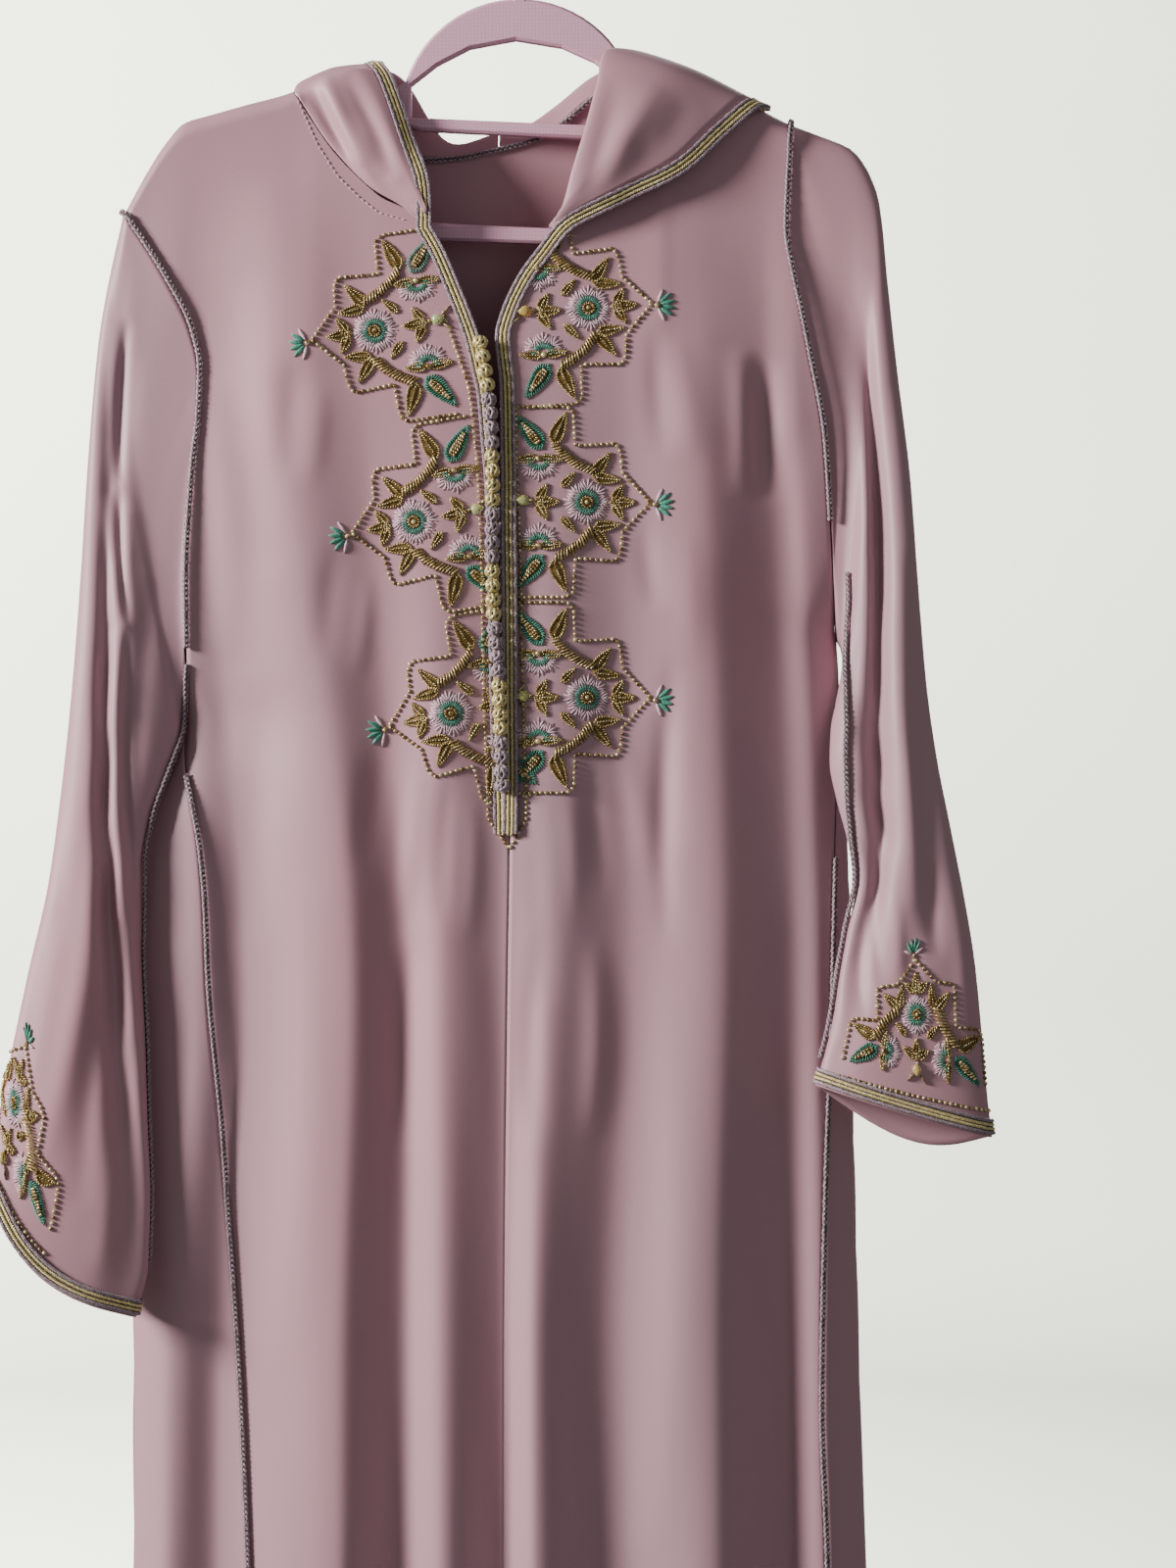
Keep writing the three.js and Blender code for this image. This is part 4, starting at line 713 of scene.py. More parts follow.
def curve_frame(tree):
    """The outward direction kept on the path, and the direction across it."""
    out = add_node(tree, "GeometryNodeInputNamedAttribute", {"data_type": "FLOAT_VECTOR"}, {"Name": "out"}).outputs[0]
    tangent = add_node(tree, "GeometryNodeInputTangent").outputs[0]
    cross = add_node(tree, "ShaderNodeVectorMath", {"operation": "CROSS_PRODUCT"}, {0: tangent, 1: out}).outputs[0]
    across = add_node(tree, "ShaderNodeVectorMath", {"operation": "NORMALIZE"}, {0: cross}).outputs[0]
    return out, tangent, across


def stitch_tree():
    """Rows of small rounded stitches or beads, one every Spacing along a path, turned by Tilt."""
    tree, given = new_geometry_tree("rows_of_stitches", {
        "Spacing": ("NodeSocketFloat", 0.0015), "Length": ("NodeSocketFloat", 0.002),
        "Width": ("NodeSocketFloat", 0.001), "Height": ("NodeSocketFloat", 0.001),
        "Tilt": ("NodeSocketFloat", 0.0), "Aside": ("NodeSocketFloat", 0.0),
        "Seed": ("NodeSocketInt", 3), "Material": ("NodeSocketMaterial", None),
    })
    curve = add_node(tree, "GeometryNodeMeshToCurve", None, {"Mesh": given["Geometry"]})
    even = add_node(tree, "GeometryNodeResampleCurve", {"mode": "LENGTH"}, {
        "Curve": curve.outputs[0], "Length": given["Spacing"]})
    out, tangent, across = curve_frame(tree)
    shift = add_node(tree, "ShaderNodeVectorMath", {"operation": "SCALE"}, {0: across, "Scale": given["Aside"]})
    moved = add_node(tree, "GeometryNodeSetPosition", None, {
        "Geometry": even.outputs[0], "Offset": shift.outputs[0]})
    turn = add_node(tree, "FunctionNodeAxesToRotation", {"primary_axis": "Z", "secondary_axis": "X"}, {
        "Primary Axis": out, "Secondary Axis": tangent})
    tilt = add_node(tree, "FunctionNodeAxisAngleToRotation", None, {"Axis": (0, 0, 1), "Angle": given["Tilt"]})
    turned = add_node(tree, "FunctionNodeRotateRotation", {"rotation_space": "LOCAL"}, {
        "Rotation": turn.outputs[0], "Rotate By": tilt.outputs[0]})
    size = add_node(tree, "ShaderNodeCombineXYZ", None, {
        "X": given["Length"], "Y": given["Width"], "Z": given["Height"]})
    uneven = add_node(tree, "FunctionNodeRandomValue", {"data_type": "FLOAT"}, {
        2: 0.9, 3: 1.08, "Seed": given["Seed"]})
    scaled = add_node(tree, "ShaderNodeVectorMath", {"operation": "SCALE"}, {
        0: size.outputs[0], "Scale": uneven.outputs[1]})
    bead = add_node(tree, "GeometryNodeMeshUVSphere", None, {"Segments": 5, "Rings": 4, "Radius": 0.5})
    smooth_bead = add_node(tree, "GeometryNodeSetShadeSmooth", None, {"Geometry": bead.outputs[0]})
    many = add_node(tree, "GeometryNodeInstanceOnPoints", None, {
        "Points": moved.outputs[0], "Instance": smooth_bead.outputs[0],
        "Rotation": turned.outputs[0], "Scale": scaled.outputs[0]})
    return close_tree(tree, many.outputs[0], given["Material"])


def plait_tree():
    """A plait of three strands that weave over each other along a path."""
    tree, given = new_geometry_tree("three_strand_plait", {
        "Step": ("NodeSocketFloat", 0.001), "Pitch": ("NodeSocketFloat", 0.008),
        "Spread": ("NodeSocketFloat", 0.001), "Rise": ("NodeSocketFloat", 0.0006),
        "Strand": ("NodeSocketFloat", 0.0009), "Aside": ("NodeSocketFloat", 0.0),
        "Material": ("NodeSocketMaterial", None),
    })
    curve = add_node(tree, "GeometryNodeMeshToCurve", None, {"Mesh": given["Geometry"]})
    even = add_node(tree, "GeometryNodeResampleCurve", {"mode": "LENGTH"}, {
        "Curve": curve.outputs[0], "Length": given["Step"]})
    out, _, across = curve_frame(tree)
    length = add_node(tree, "GeometryNodeSplineParameter").outputs["Length"]
    turns = add_node(tree, "ShaderNodeMath", {"operation": "DIVIDE"}, {0: length, 1: given["Pitch"]}).outputs[0]
    thread = add_node(tree, "GeometryNodeCurvePrimitiveCircle", {"mode": "RADIUS"}, {
        "Resolution": 4, "Radius": given["Strand"]})
    joined = add_node(tree, "GeometryNodeJoinGeometry")
    for strand in range(3):
        angle = add_node(tree, "ShaderNodeMath", {"operation": "MULTIPLY_ADD"}, {
            0: turns, 1: 2 * math.pi, 2: strand * 2 * math.pi / 3}).outputs[0]
        swing = add_node(tree, "ShaderNodeMath", {"operation": "SINE"}, {0: angle}).outputs[0]
        double = add_node(tree, "ShaderNodeMath", {"operation": "MULTIPLY"}, {0: angle, 1: 2.0}).outputs[0]
        lift = add_node(tree, "ShaderNodeMath", {"operation": "SINE"}, {0: double}).outputs[0]
        wide = add_node(tree, "ShaderNodeMath", {"operation": "MULTIPLY_ADD"}, {
            0: swing, 1: given["Spread"], 2: given["Aside"]}).outputs[0]
        high = add_node(tree, "ShaderNodeMath", {"operation": "MULTIPLY"}, {0: lift, 1: given["Rise"]}).outputs[0]
        sideways_part = add_node(tree, "ShaderNodeVectorMath", {"operation": "SCALE"}, {0: across, "Scale": wide})
        outward_part = add_node(tree, "ShaderNodeVectorMath", {"operation": "SCALE"}, {0: out, "Scale": high})
        both = add_node(tree, "ShaderNodeVectorMath", {"operation": "ADD"}, {
            0: sideways_part.outputs[0], 1: outward_part.outputs[0]})
        woven = add_node(tree, "GeometryNodeSetPosition", None, {
            "Geometry": even.outputs[0], "Offset": both.outputs[0]})
        tube = add_node(tree, "GeometryNodeCurveToMesh", None, {
            "Curve": woven.outputs[0], "Profile Curve": thread.outputs[0], "Fill Caps": True})
        tree.links.new(tube.outputs[0], joined.inputs[0])
    soft = add_node(tree, "GeometryNodeSetShadeSmooth", None, {"Geometry": joined.outputs[0]})
    return close_tree(tree, soft.outputs[0], given["Material"])


def knot_tree():
    """A copy of one knotted ball at every point, each turned its own way."""
    tree, given = new_geometry_tree("column_of_knots", {
        "Knot": ("NodeSocketObject", None), "Seed": ("NodeSocketInt", 5),
        "Material": ("NodeSocketMaterial", None),
    })
    knot = add_node(tree, "GeometryNodeObjectInfo", None, {"Object": given["Knot"]})
    turn = add_node(tree, "FunctionNodeRandomValue", {"data_type": "FLOAT_VECTOR"}, {
        0: (-0.5, -0.6, -0.8), 1: (0.5, 0.6, 0.8), "Seed": given["Seed"]})
    many = add_node(tree, "GeometryNodeInstanceOnPoints", None, {
        "Points": given["Geometry"], "Instance": knot.outputs["Geometry"], "Rotation": turn.outputs[0]})
    return close_tree(tree, many.outputs[0], given["Material"])


def grow(name, points, outs, tree, values):
    """Run a node tree on paths (lists of points in millimetres) and keep the result as a plain mesh."""
    mesh = bpy.data.meshes.new(name)
    vertices, edges = [], []
    for path in points:
        first = len(vertices)
        vertices += (np.asarray(path) * MM).tolist()
        edges += [(first + k, first + k + 1) for k in range(len(path) - 1)] if outs is not None else []
    mesh.from_pydata(vertices, edges, [])
    if outs is not None:
        layer = mesh.attributes.new("out", "FLOAT_VECTOR", "POINT")
        layer.data.foreach_set("vector", np.concatenate(outs).astype(np.float32).ravel())
    piece = bpy.data.objects.new(name, mesh)
    bpy.context.scene.collection.objects.link(piece)
    modifier = piece.modifiers.new("grown", "NODES")
    modifier.node_group = tree
    for item in tree.interface.items_tree:
        if item.item_type == "SOCKET" and item.in_out == "INPUT" and item.name in values:
            modifier[item.identifier] = values[item.name]
    depsgraph = bpy.context.evaluated_depsgraph_get()
    baked = bpy.data.meshes.new_from_object(piece.evaluated_get(depsgraph), depsgraph=depsgraph)
    piece.modifiers.clear()
    piece.data = baked
    bpy.data.meshes.remove(mesh)
    baked.name = name
    return piece


def join(name, pieces):
    """Several meshes as one, keeping their materials."""
    with bpy.context.temp_override(active_object=pieces[0], selected_editable_objects=pieces):
        bpy.ops.object.join()
    pieces[0].name = name
    return pieces[0]


# ---------------------------------------------------------------- materials

def new_material(name):
    material = bpy.data.materials.new(name)
    material.use_nodes = True
    tree = material.node_tree
    shader = next(node for node in tree.nodes if node.type == "BSDF_PRINCIPLED")
    return material, tree, shader


def noise(tree, size_mm, detail=2.0, source=None, stretch=(1, 1, 1)):
    """Soft noise whose features are size_mm across, on the piece's own coordinates."""
    if source is None:
        source = add_node(tree, "ShaderNodeTexCoord").outputs["Object"]
    mapped = add_node(tree, "ShaderNodeMapping", None, {"Vector": source, "Scale": stretch})
    return add_node(tree, "ShaderNodeTexNoise", None, {
        "Vector": mapped.outputs[0], "Scale": 1 / (size_mm * MM), "Detail": detail}).outputs["Fac"]


def blend(tree, factor, first, second):
    return add_node(tree, "ShaderNodeMix", {"data_type": "RGBA"}, {
        0: factor, 6: first, 7: second}).outputs[2]


def satin_crepe(settings):
    """Polyester satin crepe, woven with twisted yarn: a soft sheen over a very fine pebbled grain.
    The real grain is about 0.3 mm; it is drawn at 1.2 mm, as coarse as it needs to show."""
    material, tree, shader = new_material("satin_crepe")
    wide = noise(tree, 160, 1.0, stretch=(1, 1, 0.35))
    soft = add_node(tree, "ShaderNodeMapRange", None, {"Value": wide, 1: 0.35, 2: 0.65}).outputs[0]
    colour = blend(tree, soft, tuple(settings.cloth_colour), tuple(settings.cloth_warm))
    grain = noise(tree, 1.2, 3.0)
    # Painted shade: the weave's hollows drawn darker along the fine grain.
    grain_shade = add_node(tree, "ShaderNodeMapRange", None, {"Value": grain, 1: 0.3, 2: 0.7, 3: 0.0, 4: 0.1}).outputs[0]
    tree.links.new(blend(tree, grain_shade, colour, tuple(settings.cloth_hollow_shade)), shader.inputs["Base Color"])
    bump = add_node(tree, "ShaderNodeBump", None, {"Height": grain, "Strength": 0.12, "Distance": 0.0002})
    tree.links.new(bump.outputs[0], shader.inputs["Normal"])
    shader.inputs["Roughness"].default_value = 0.5
    shader.inputs["Specular IOR Level"].default_value = 0.42
    shader.inputs["Sheen Weight"].default_value = 0.22
    shader.inputs["Sheen Roughness"].default_value = 0.35
    shader.inputs["Sheen Tint"].default_value = linear("#E6CDD4")
    return material


def thread(name, light, dark, size_mm, roughness, metal=0.0, sheen=0.0):
    """Twisted thread: a painted highlight on its crowns and painted shade in its gaps, along a fine twist across it.
    """
    material, tree, shader = new_material(name)
    twist = noise(tree, size_mm, 2.0)
    # Painted light: the light colour goes on the twist's crowns and the dark one in its gaps, where shade would fall.
    crowns = add_node(tree, "ShaderNodeMapRange", None, {"Value": twist, 1: 0.38, 2: 0.62}).outputs[0]
    tree.links.new(blend(tree, crowns, dark, light), shader.inputs["Base Color"])
    bump = add_node(tree, "ShaderNodeBump", None, {"Height": twist, "Strength": 0.5, "Distance": 0.0003})
    tree.links.new(bump.outputs[0], shader.inputs["Normal"])
    shader.inputs["Roughness"].default_value = roughness
    shader.inputs["Metallic"].default_value = metal
    shader.inputs["Sheen Weight"].default_value = sheen
    return material


def moulded_plastic(settings):
    """Polypropylene, moulded against an etched tool: even pink with a fine honeycomb relief.
    The cells are drawn 2.2 mm across, with painted shade in the lines between them."""
    material, tree, shader = new_material("moulded_polypropylene")
    source = add_node(tree, "ShaderNodeTexCoord").outputs["Object"]
    cells = add_node(tree, "ShaderNodeTexVoronoi", {"feature": "DISTANCE_TO_EDGE"}, {
        "Vector": source, "Scale": 1 / (2.2 * MM), "Randomness": 0.25}).outputs["Distance"]
    walls = add_node(tree, "ShaderNodeMapRange", None, {"Value": cells, 1: 0.0, 2: 0.16}).outputs[0]
    # Painted shade in the lines of the relief.
    colour = blend(tree, walls, tuple(settings.hanger_relief_shade), tuple(settings.hanger_colour))
    tree.links.new(colour, shader.inputs["Base Color"])
    bump = add_node(tree, "ShaderNodeBump", None, {"Height": walls, "Strength": 0.25, "Distance": 0.0002})
    tree.links.new(bump.outputs[0], shader.inputs["Normal"])
    shader.inputs["Roughness"].default_value = 0.48
    shader.inputs["Subsurface Weight"].default_value = 0.08
    shader.inputs["Subsurface Scale"].default_value = 0.004
    return material


def cut_glass():
    """Pressed glass drops: pale yellow-green, clear and polished."""
    material, tree, shader = new_material("glass_drops")
    tint = noise(tree, 22, 1.0)
    hue = add_node(tree, "ShaderNodeMapRange", None, {"Value": tint, 1: 0.42, 2: 0.58}).outputs[0]
    tree.links.new(blend(tree, hue, linear("#B9C98A"), linear("#D9B866")), shader.inputs["Base Color"])
    shader.inputs["Roughness"].default_value = 0.12
    shader.inputs["Transmission Weight"].default_value = 0.35
    shader.inputs["IOR"].default_value = 1.52
    return material


def painted_paper():
    """Studio background paper: matt, pale and very slightly uneven."""
    material, tree, shader = new_material("background_paper")
    uneven = noise(tree, 900, 2.0)
    tree.links.new(blend(tree, uneven, linear("#E9E8DF"), linear("#DEDFD5")), shader.inputs["Base Color"])
    shader.inputs["Roughness"].default_value = 0.9
    return material


def finish_named(name):
    """Each finish is made once and kept."""
    known = bpy.data.materials.get(name)
    if known:
        return known
    cloth = bpy.context.scene.djellaba_cloth
    trims = bpy.context.scene.djellaba_trims
    beads = bpy.context.scene.djellaba_beadwork
    # Every finish made by thread() below carries painted highlights on its crowns and painted shade in its gaps.
    makers = {
        "satin_crepe": lambda: satin_crepe(cloth),
        "moulded_polypropylene": lambda: moulded_plastic(cloth),
        "gold_thread": lambda: thread("gold_thread", tuple(trims.gold_light), tuple(trims.gold_shade),
            0.9, 0.38, 0.35),
        "lilac_thread": lambda: thread("lilac_thread", tuple(trims.lilac_light),
            tuple(trims.lilac_shade), 0.9, 0.5, 0.0, 0.3),
        # Painted shade: this dark finish, on the braids' tape and inside the cords and knots, stands for the shade
        # between strands and turns.
        "lilac_shade_core": lambda: thread("lilac_shade_core", linear("#5C4A52"), linear("#3A2C33"), 1.2, 0.7),
        "bullion_ground": lambda: thread("bullion_ground", linear("#8A7038"), linear("#55411C"), 1.0,
            0.5, 0.3),
        # Painted shade: the padding under the petal and green silk is darker, so the gaps between the stitches read
        # as shade.
        "petal_ground": lambda: thread("petal_ground", linear("#C49DAA"), linear("#A17F8C"), 1.2, 0.6),
        "green_ground": lambda: thread("green_ground", linear("#2F7A66"), linear("#1F5546"), 1.2, 0.6),
        "gold_bullion": lambda: thread("gold_bullion", tuple(beads.bullion_light),
            tuple(beads.bullion_shade), 1.5, 0.34, 0.45),
        # Painted light: the beads turn lighter and darker from one to the next, the bead colour against the bullion's
        # painted shade.
        "gold_beads": lambda: thread("gold_beads", tuple(beads.bead_light), tuple(beads.bullion_shade),
            3.2, 0.22, 0.45),
        "green_silk": lambda: thread("green_silk", tuple(beads.green), linear("#2B7A66"), 1.4, 0.45,
            0.0, 0.3),
        "petal_silk": lambda: thread("petal_silk", tuple(beads.petal), linear("#D0AEBB"), 1.8, 0.5, 0.0, 0.3),
        "glass_drops": cut_glass,
        "background_paper": painted_paper,
    }
    return makers[name]()


# ---------------------------------------------------------------- the garment's own forms

FORMS = {}


def seam_half_gap(drop):
    """Half the space between the two fronts: open down to the placket's foot, then sewn shut."""
    return OPENING_HALF_GAP + (CENTRE_SEAM_HALF_GAP - OPENING_HALF_GAP) * smooth((drop - PLACKET_END) / 12)


def forms():
    """Every cloth form, worked out once: grids of points in millimetres."""
    if FORMS:
        return FORMS
    FORMS["front_right"] = front_panel(
        lambda drop: seam_right(drop) + SEAM_HALF_GAP,
        lambda drop: opening_right(drop) - seam_half_gap(drop),
        lambda x: np.where(x < NECK_RIGHT_X, ridge_drop(x), front_neck_right(x)),
        ARMPIT_RIGHT, FRONT_NECK_RIGHT[0])
    FORMS["front_left"] = front_panel(
        lambda drop: seam_left(drop) - SEAM_HALF_GAP,
        lambda drop: opening_left(drop) + seam_half_gap(drop),
        lambda x: np.where(x > NECK_LEFT_X, ridge_drop(x), front_neck_left(x)),
        ARMPIT_LEFT, FRONT_NECK_LEFT[-1])
    FORMS["back"] = back_panel()
    FORMS["sleeve_right"] = sleeve(
        SLEEVE_RIGHT, seam_right, SEAM_RIGHT[0][0], ARMPIT_RIGHT - 2, -1, SLEEVE_RIGHT_CREASES, SLEEVE_BACK_CREASES)
    FORMS["sleeve_left"] = sleeve(
        SLEEVE_LEFT, seam_left, SEAM_LEFT[0][0], ARMPIT_LEFT - 2, 1, SLEEVE_LEFT_CREASES, SLEEVE_BACK_CREASES)
    FORMS["hood_right"] = hood(HOOD_RIGHT)
    FORMS["hood_left"] = hood(HOOD_LEFT)
    return FORMS


def outward(grid, closed=False):
    """Normals of a grid turned away from the garment's middle plane, or from a tube's own middle."""
    normals = grid_normals(grid, closed)
    if closed:
        away = grid - grid.mean(0, keepdims=True)
    else:
        away = np.zeros_like(grid)
        away[..., 1] = np.sign(grid[..., 1])
    sign = np.sign((normals * away).sum(-1, keepdims=True))
    return normals * np.where(sign == 0, 1, sign)


def down_column(grid, column, start, end, lift, aside=None, inward=1):
    """A path down one column of a panel between two drops, lifted off it and set in from it."""
    normals = outward(grid)
    points, outs = grid[column], normals[column]
    step = grid[column + inward] - grid[column]
    step = step / np.maximum(np.linalg.norm(step, axis=1, keepdims=True), 1e-9)
    drops = -points[:, 2]
    inside = (drops > start) & (drops < end)
    at = np.concatenate([[max(start, drops[0])], drops[inside], [end]])
    pick = lambda values: np.stack([np.interp(at, drops, values[:, n]) for n in range(3)], 1)
    path, out, side = pick(points), pick(outs), pick(step)
    out /= np.linalg.norm(out, axis=1, keepdims=True)
    if aside is not None:
        path = path + side * aside(at)[:, None]
    return path + out * np.broadcast_to(lift(at) if callable(lift) else lift, at.shape)[:, None], out


def over_shoulder(front, back, back_column, armpit, lift):
    """The armhole cord: up the front armhole, over the shoulder and down the back one."""
    path, out = down_column(front, 0, 0, armpit, lift)
    normals = grid_normals(back, False)[back_column]
    normals = normals * np.where(normals[:, 1:2] < 0, -1, 1)
    keep = (np.arange(back.shape[1]) > 6) & (-back[back_column][:, 2] <= armpit)
    behind = back[back_column][keep] + normals[keep] * lift
    return np.concatenate([path[::-1], behind]), np.concatenate([out[::-1], normals[keep]])


def neck_line(back, lift):
    top = back[:, 0]
    normals = grid_normals(back, False)[:, 0]
    normals = normals * np.where(normals[:, 1:2] > 0, -1, 1)
    normals[:, 2] = 0
    normals /= np.linalg.norm(normals, axis=1, keepdims=True)
    keep = (top[:, 0] > NECK_RIGHT_X + 12) & (top[:, 0] < NECK_LEFT_X - 14)
    return top[keep] + normals[keep] * lift, normals[keep]


def down_sleeve(grid, rows, start_and_columns, lift):
    """The underarm cord, through the sleeve's named columns at its own rings."""
    start, columns = start_and_columns
    rings = grid.shape[1] - 1
    half = grid.shape[0] // 2
    normals = grid_normals(grid, True)
    knots = ring_knots(rows, grid)
    steps, named = np.linspace(0, 1, UNDERARM_STEPS), np.linspace(0, 1, len(columns))
    place_in = np.interp(steps, named, [knots[start + k] for k in range(len(columns))])
    column_at = np.interp(steps, named, columns) / (len(UPPER_ROWS) - 1) * half
    path, outs = [], []
    for row, column in zip(place_in, column_at):
        r0, c0 = int(min(row, rings - 1)), int(column)
        rt, ct = row - r0, column - c0
        c1 = (c0 + 1) % grid.shape[0]
        mix = lambda table: ((table[c0, r0] * (1 - ct) + table[c1, r0] * ct) * (1 - rt)
                             + (table[c0, r0 + 1] * (1 - ct) + table[c1, r0 + 1] * ct) * rt)
        point, normal = mix(grid), mix(normals)
        normal /= np.linalg.norm(normal)
        centre = (grid[0, r0] + grid[half, r0]) / 2
        if np.dot(normal, point - centre) < 0:
            normal = -normal
        path.append(point + normal * lift)
        outs.append(normal)
    return np.array(path), np.array(outs)


def ring_knots(rows, grid):
    """Which row of the finished grid each named ring of a sleeve is."""
    ends = np.array([((row[0] + row[2]) / 2, -(row[1] + row[3]) / 2) for row in rows])
    half = grid.shape[0] // 2
    middle = (grid[0] + grid[half]) / 2
    found = [0]
    for x, z in ends:
        found.append(int(np.argmin((middle[:, 0] - x) ** 2 + (middle[:, 2] - z) ** 2)))
    return found


def hood_edge(grid):
    """The middle of the braid that runs on past the hood's free edge."""
    edge, before = grid[:, -1], grid[:, -5]
    along = np.gradient(edge, axis=0)
    along /= np.linalg.norm(along, axis=1, keepdims=True)
    away = edge - before
    away -= along * (away * along).sum(1, keepdims=True)
    away /= np.linalg.norm(away, axis=1, keepdims=True)
    outs = grid_normals(grid, False)[:, -1]
    return edge + away * (HOOD_BRAID_GAP + BRAID_WIDTH / 2), outs


def carried_on(near_path, near_outs, path, outs, steps=12):
    """Lead a path up to the end of another one in a smooth curve, so that one braid runs into the next."""
    start, end = near_path[0], path[0]
    reach = np.linalg.norm(end - start)
    leave = near_path[0] - near_path[3]
    arrive = path[3] - path[0]
    leave = leave / np.linalg.norm(leave) * reach
    arrive = arrive / np.linalg.norm(arrive) * reach
    t = np.linspace(0, 1, steps)[:-1, None]
    curve = ((2 * t**3 - 3 * t**2 + 1) * start + (t**3 - 2 * t**2 + t) * leave
             + (3 * t**2 - 2 * t**3) * end + (t**3 - t**2) * arrive)
    out = near_outs[0] * (1 - t) + outs[0] * t
    out /= np.linalg.norm(out, axis=1, keepdims=True)
    return np.concatenate([curve, path]), np.concatenate([out, outs])


# ---------------------------------------------------------------- trims

def trim(name, path, outs, width=TRIM_WIDTH, both_faces=False):
    """The three-part braid: a gold herringbone between two narrow lilac plaits, on a flat tape. The tape is drawn
    dark, as painted shade between the stitches.
    """
    path, outs = evenly(path, outs, 1.6)
    thick = 1.1
    tape = [(-width / 2 + 0.5, -thick / 2), (width / 2 - 0.5, -thick / 2), (width / 2, 0),
            (width / 2 - 0.5, thick / 2), (-width / 2 + 0.5, thick / 2), (-width / 2, 0)]
    points, faces = swept_bar(path, outs, tape)
    name += "_woven"
    base = new_mesh(name, points, faces, finish_named("lilac_shade_core"))
    point_outwards(base)
    gold, lilac = finish_named("gold_thread"), finish_named("lilac_thread")
    pieces = [base]
    sides = (1, -1) if both_faces else (1,)
    for side in sides:
        top = [path + outs * side * (thick / 2 + 0.25)]
        face = [outs * side]
        for half in (1, -1):
            pieces.append(grow(name + "_gold", top, face, bpy.data.node_groups["rows_of_stitches"], {
                "Spacing": 1.45 * MM, "Length": width * 0.37 * MM, "Width": 1.5 * MM, "Height": 1.3 * MM,
                "Tilt": half * 0.62, "Aside": half * width * 0.13 * MM, "Seed": 4, "Material": gold}))
            pieces.append(grow(name + "_plait", top, face, bpy.data.node_groups["three_strand_plait"], {
                "Step": 1.6 * MM, "Pitch": 6.4 * MM, "Spread": 0.62 * MM, "Rise": 0.35 * MM,
                "Strand": 0.62 * MM, "Aside": half * width * 0.385 * MM, "Material": lilac}))
    piece = join(name, pieces)
    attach(piece, "root")
    return piece


def plaited_cord(name, path, outs, radius=2.1):
    """A round plaited cord with a dark core, laid along a seam; the dark core is painted shade between the strands.
    """
    path, outs = evenly(path, outs, 1.5)
    ring = [(radius * 0.62 * math.cos(a), radius * 0.62 * math.sin(a)) for a in np.linspace(0, 2 * math.pi, 7)[:-1]]
    points, faces = swept_bar(path, outs, ring)
    core = new_mesh(name + "_plaited", points, faces, finish_named("lilac_shade_core"))
    point_outwards(core)
    plait = grow(name + "_strands", [path], [outs], bpy.data.node_groups["three_strand_plait"], {
        "Step": 1.5 * MM, "Pitch": 9.5 * MM, "Spread": radius * 0.52 * MM, "Rise": radius * 0.34 * MM,
        "Strand": radius * 0.46 * MM, "Material": finish_named("lilac_thread")})
    piece = join(name + "_plaited", [core, plait])
    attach(piece, "root")
    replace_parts(piece, name)
    return piece


def knot_path():
    """One long turn of a ball knot: four times round and seven up and down, over and under itself."""
    t = np.linspace(0, 2 * math.pi, 127)[:-1]
    turn, rise = 4 * t, 1.12 * np.sin(7 * t)
    radius = 3.35 + 0.5 * np.cos(14 * t + 0.6)
    return np.stack([
        radius * np.cos(rise) * np.cos(turn) * 1.06,
        radius * np.cos(rise) * np.sin(turn) * 0.95,
        radius * np.sin(rise) * 1.12,
    ], 1)


def knot_mesh():
    path = knot_path()
    closed = np.concatenate([path, path[:1], path[1:2]])
    outs = closed / np.linalg.norm(closed, axis=1, keepdims=True)
    ring = [(0.98 * math.cos(a), 0.98 * math.sin(a)) for a in np.linspace(0, 2 * math.pi, 6)[:-1]]
    points, faces = swept_bar(closed, outs, ring)
    return new_mesh("knotted_ball", points, faces, None)


def shade_core_mesh():
    """A dark ball inside each knot, seen between its turns, that stands in for the shade there."""
    around, up = 10, 7
    points, faces = [(0, 0, 3.1)], []
    for r in range(1, up):
        tilt = math.pi * r / up
        points += [(3.1 * math.sin(tilt) * math.cos(a), 3.1 * math.sin(tilt) * math.sin(a), 3.1 * math.cos(tilt))
                   for a in np.linspace(0, 2 * math.pi, around + 1)[:-1]]
    points.append((0, 0, -3.1))
    for n in range(around):
        m = (n + 1) % around
        faces.append((0, 1 + n, 1 + m))
        for r in range(up - 2):
            a, b = 1 + r * around, 1 + (r + 1) * around
            faces.append((a + n, b + n, b + m, a + m))
        faces.append((len(points) - 1, 1 + (up - 2) * around + m, 1 + (up - 2) * around + n))
    return new_mesh("knot_core", points, faces, None)


# ---------------------------------------------------------------- beadwork

def lobe(length, width, start=0.0, point=0.55, steps=9):
    """Outline of a leaf or petal that grows along +a from a start; point moves its widest place."""
    t = np.linspace(0, 1, steps)
    half = width / 2 * np.sin(math.pi * t ** point) ** 0.8
    side = np.stack([start + length * t, half], 1)
    return np.concatenate([side, side[-2:0:-1] * [1, -1]])


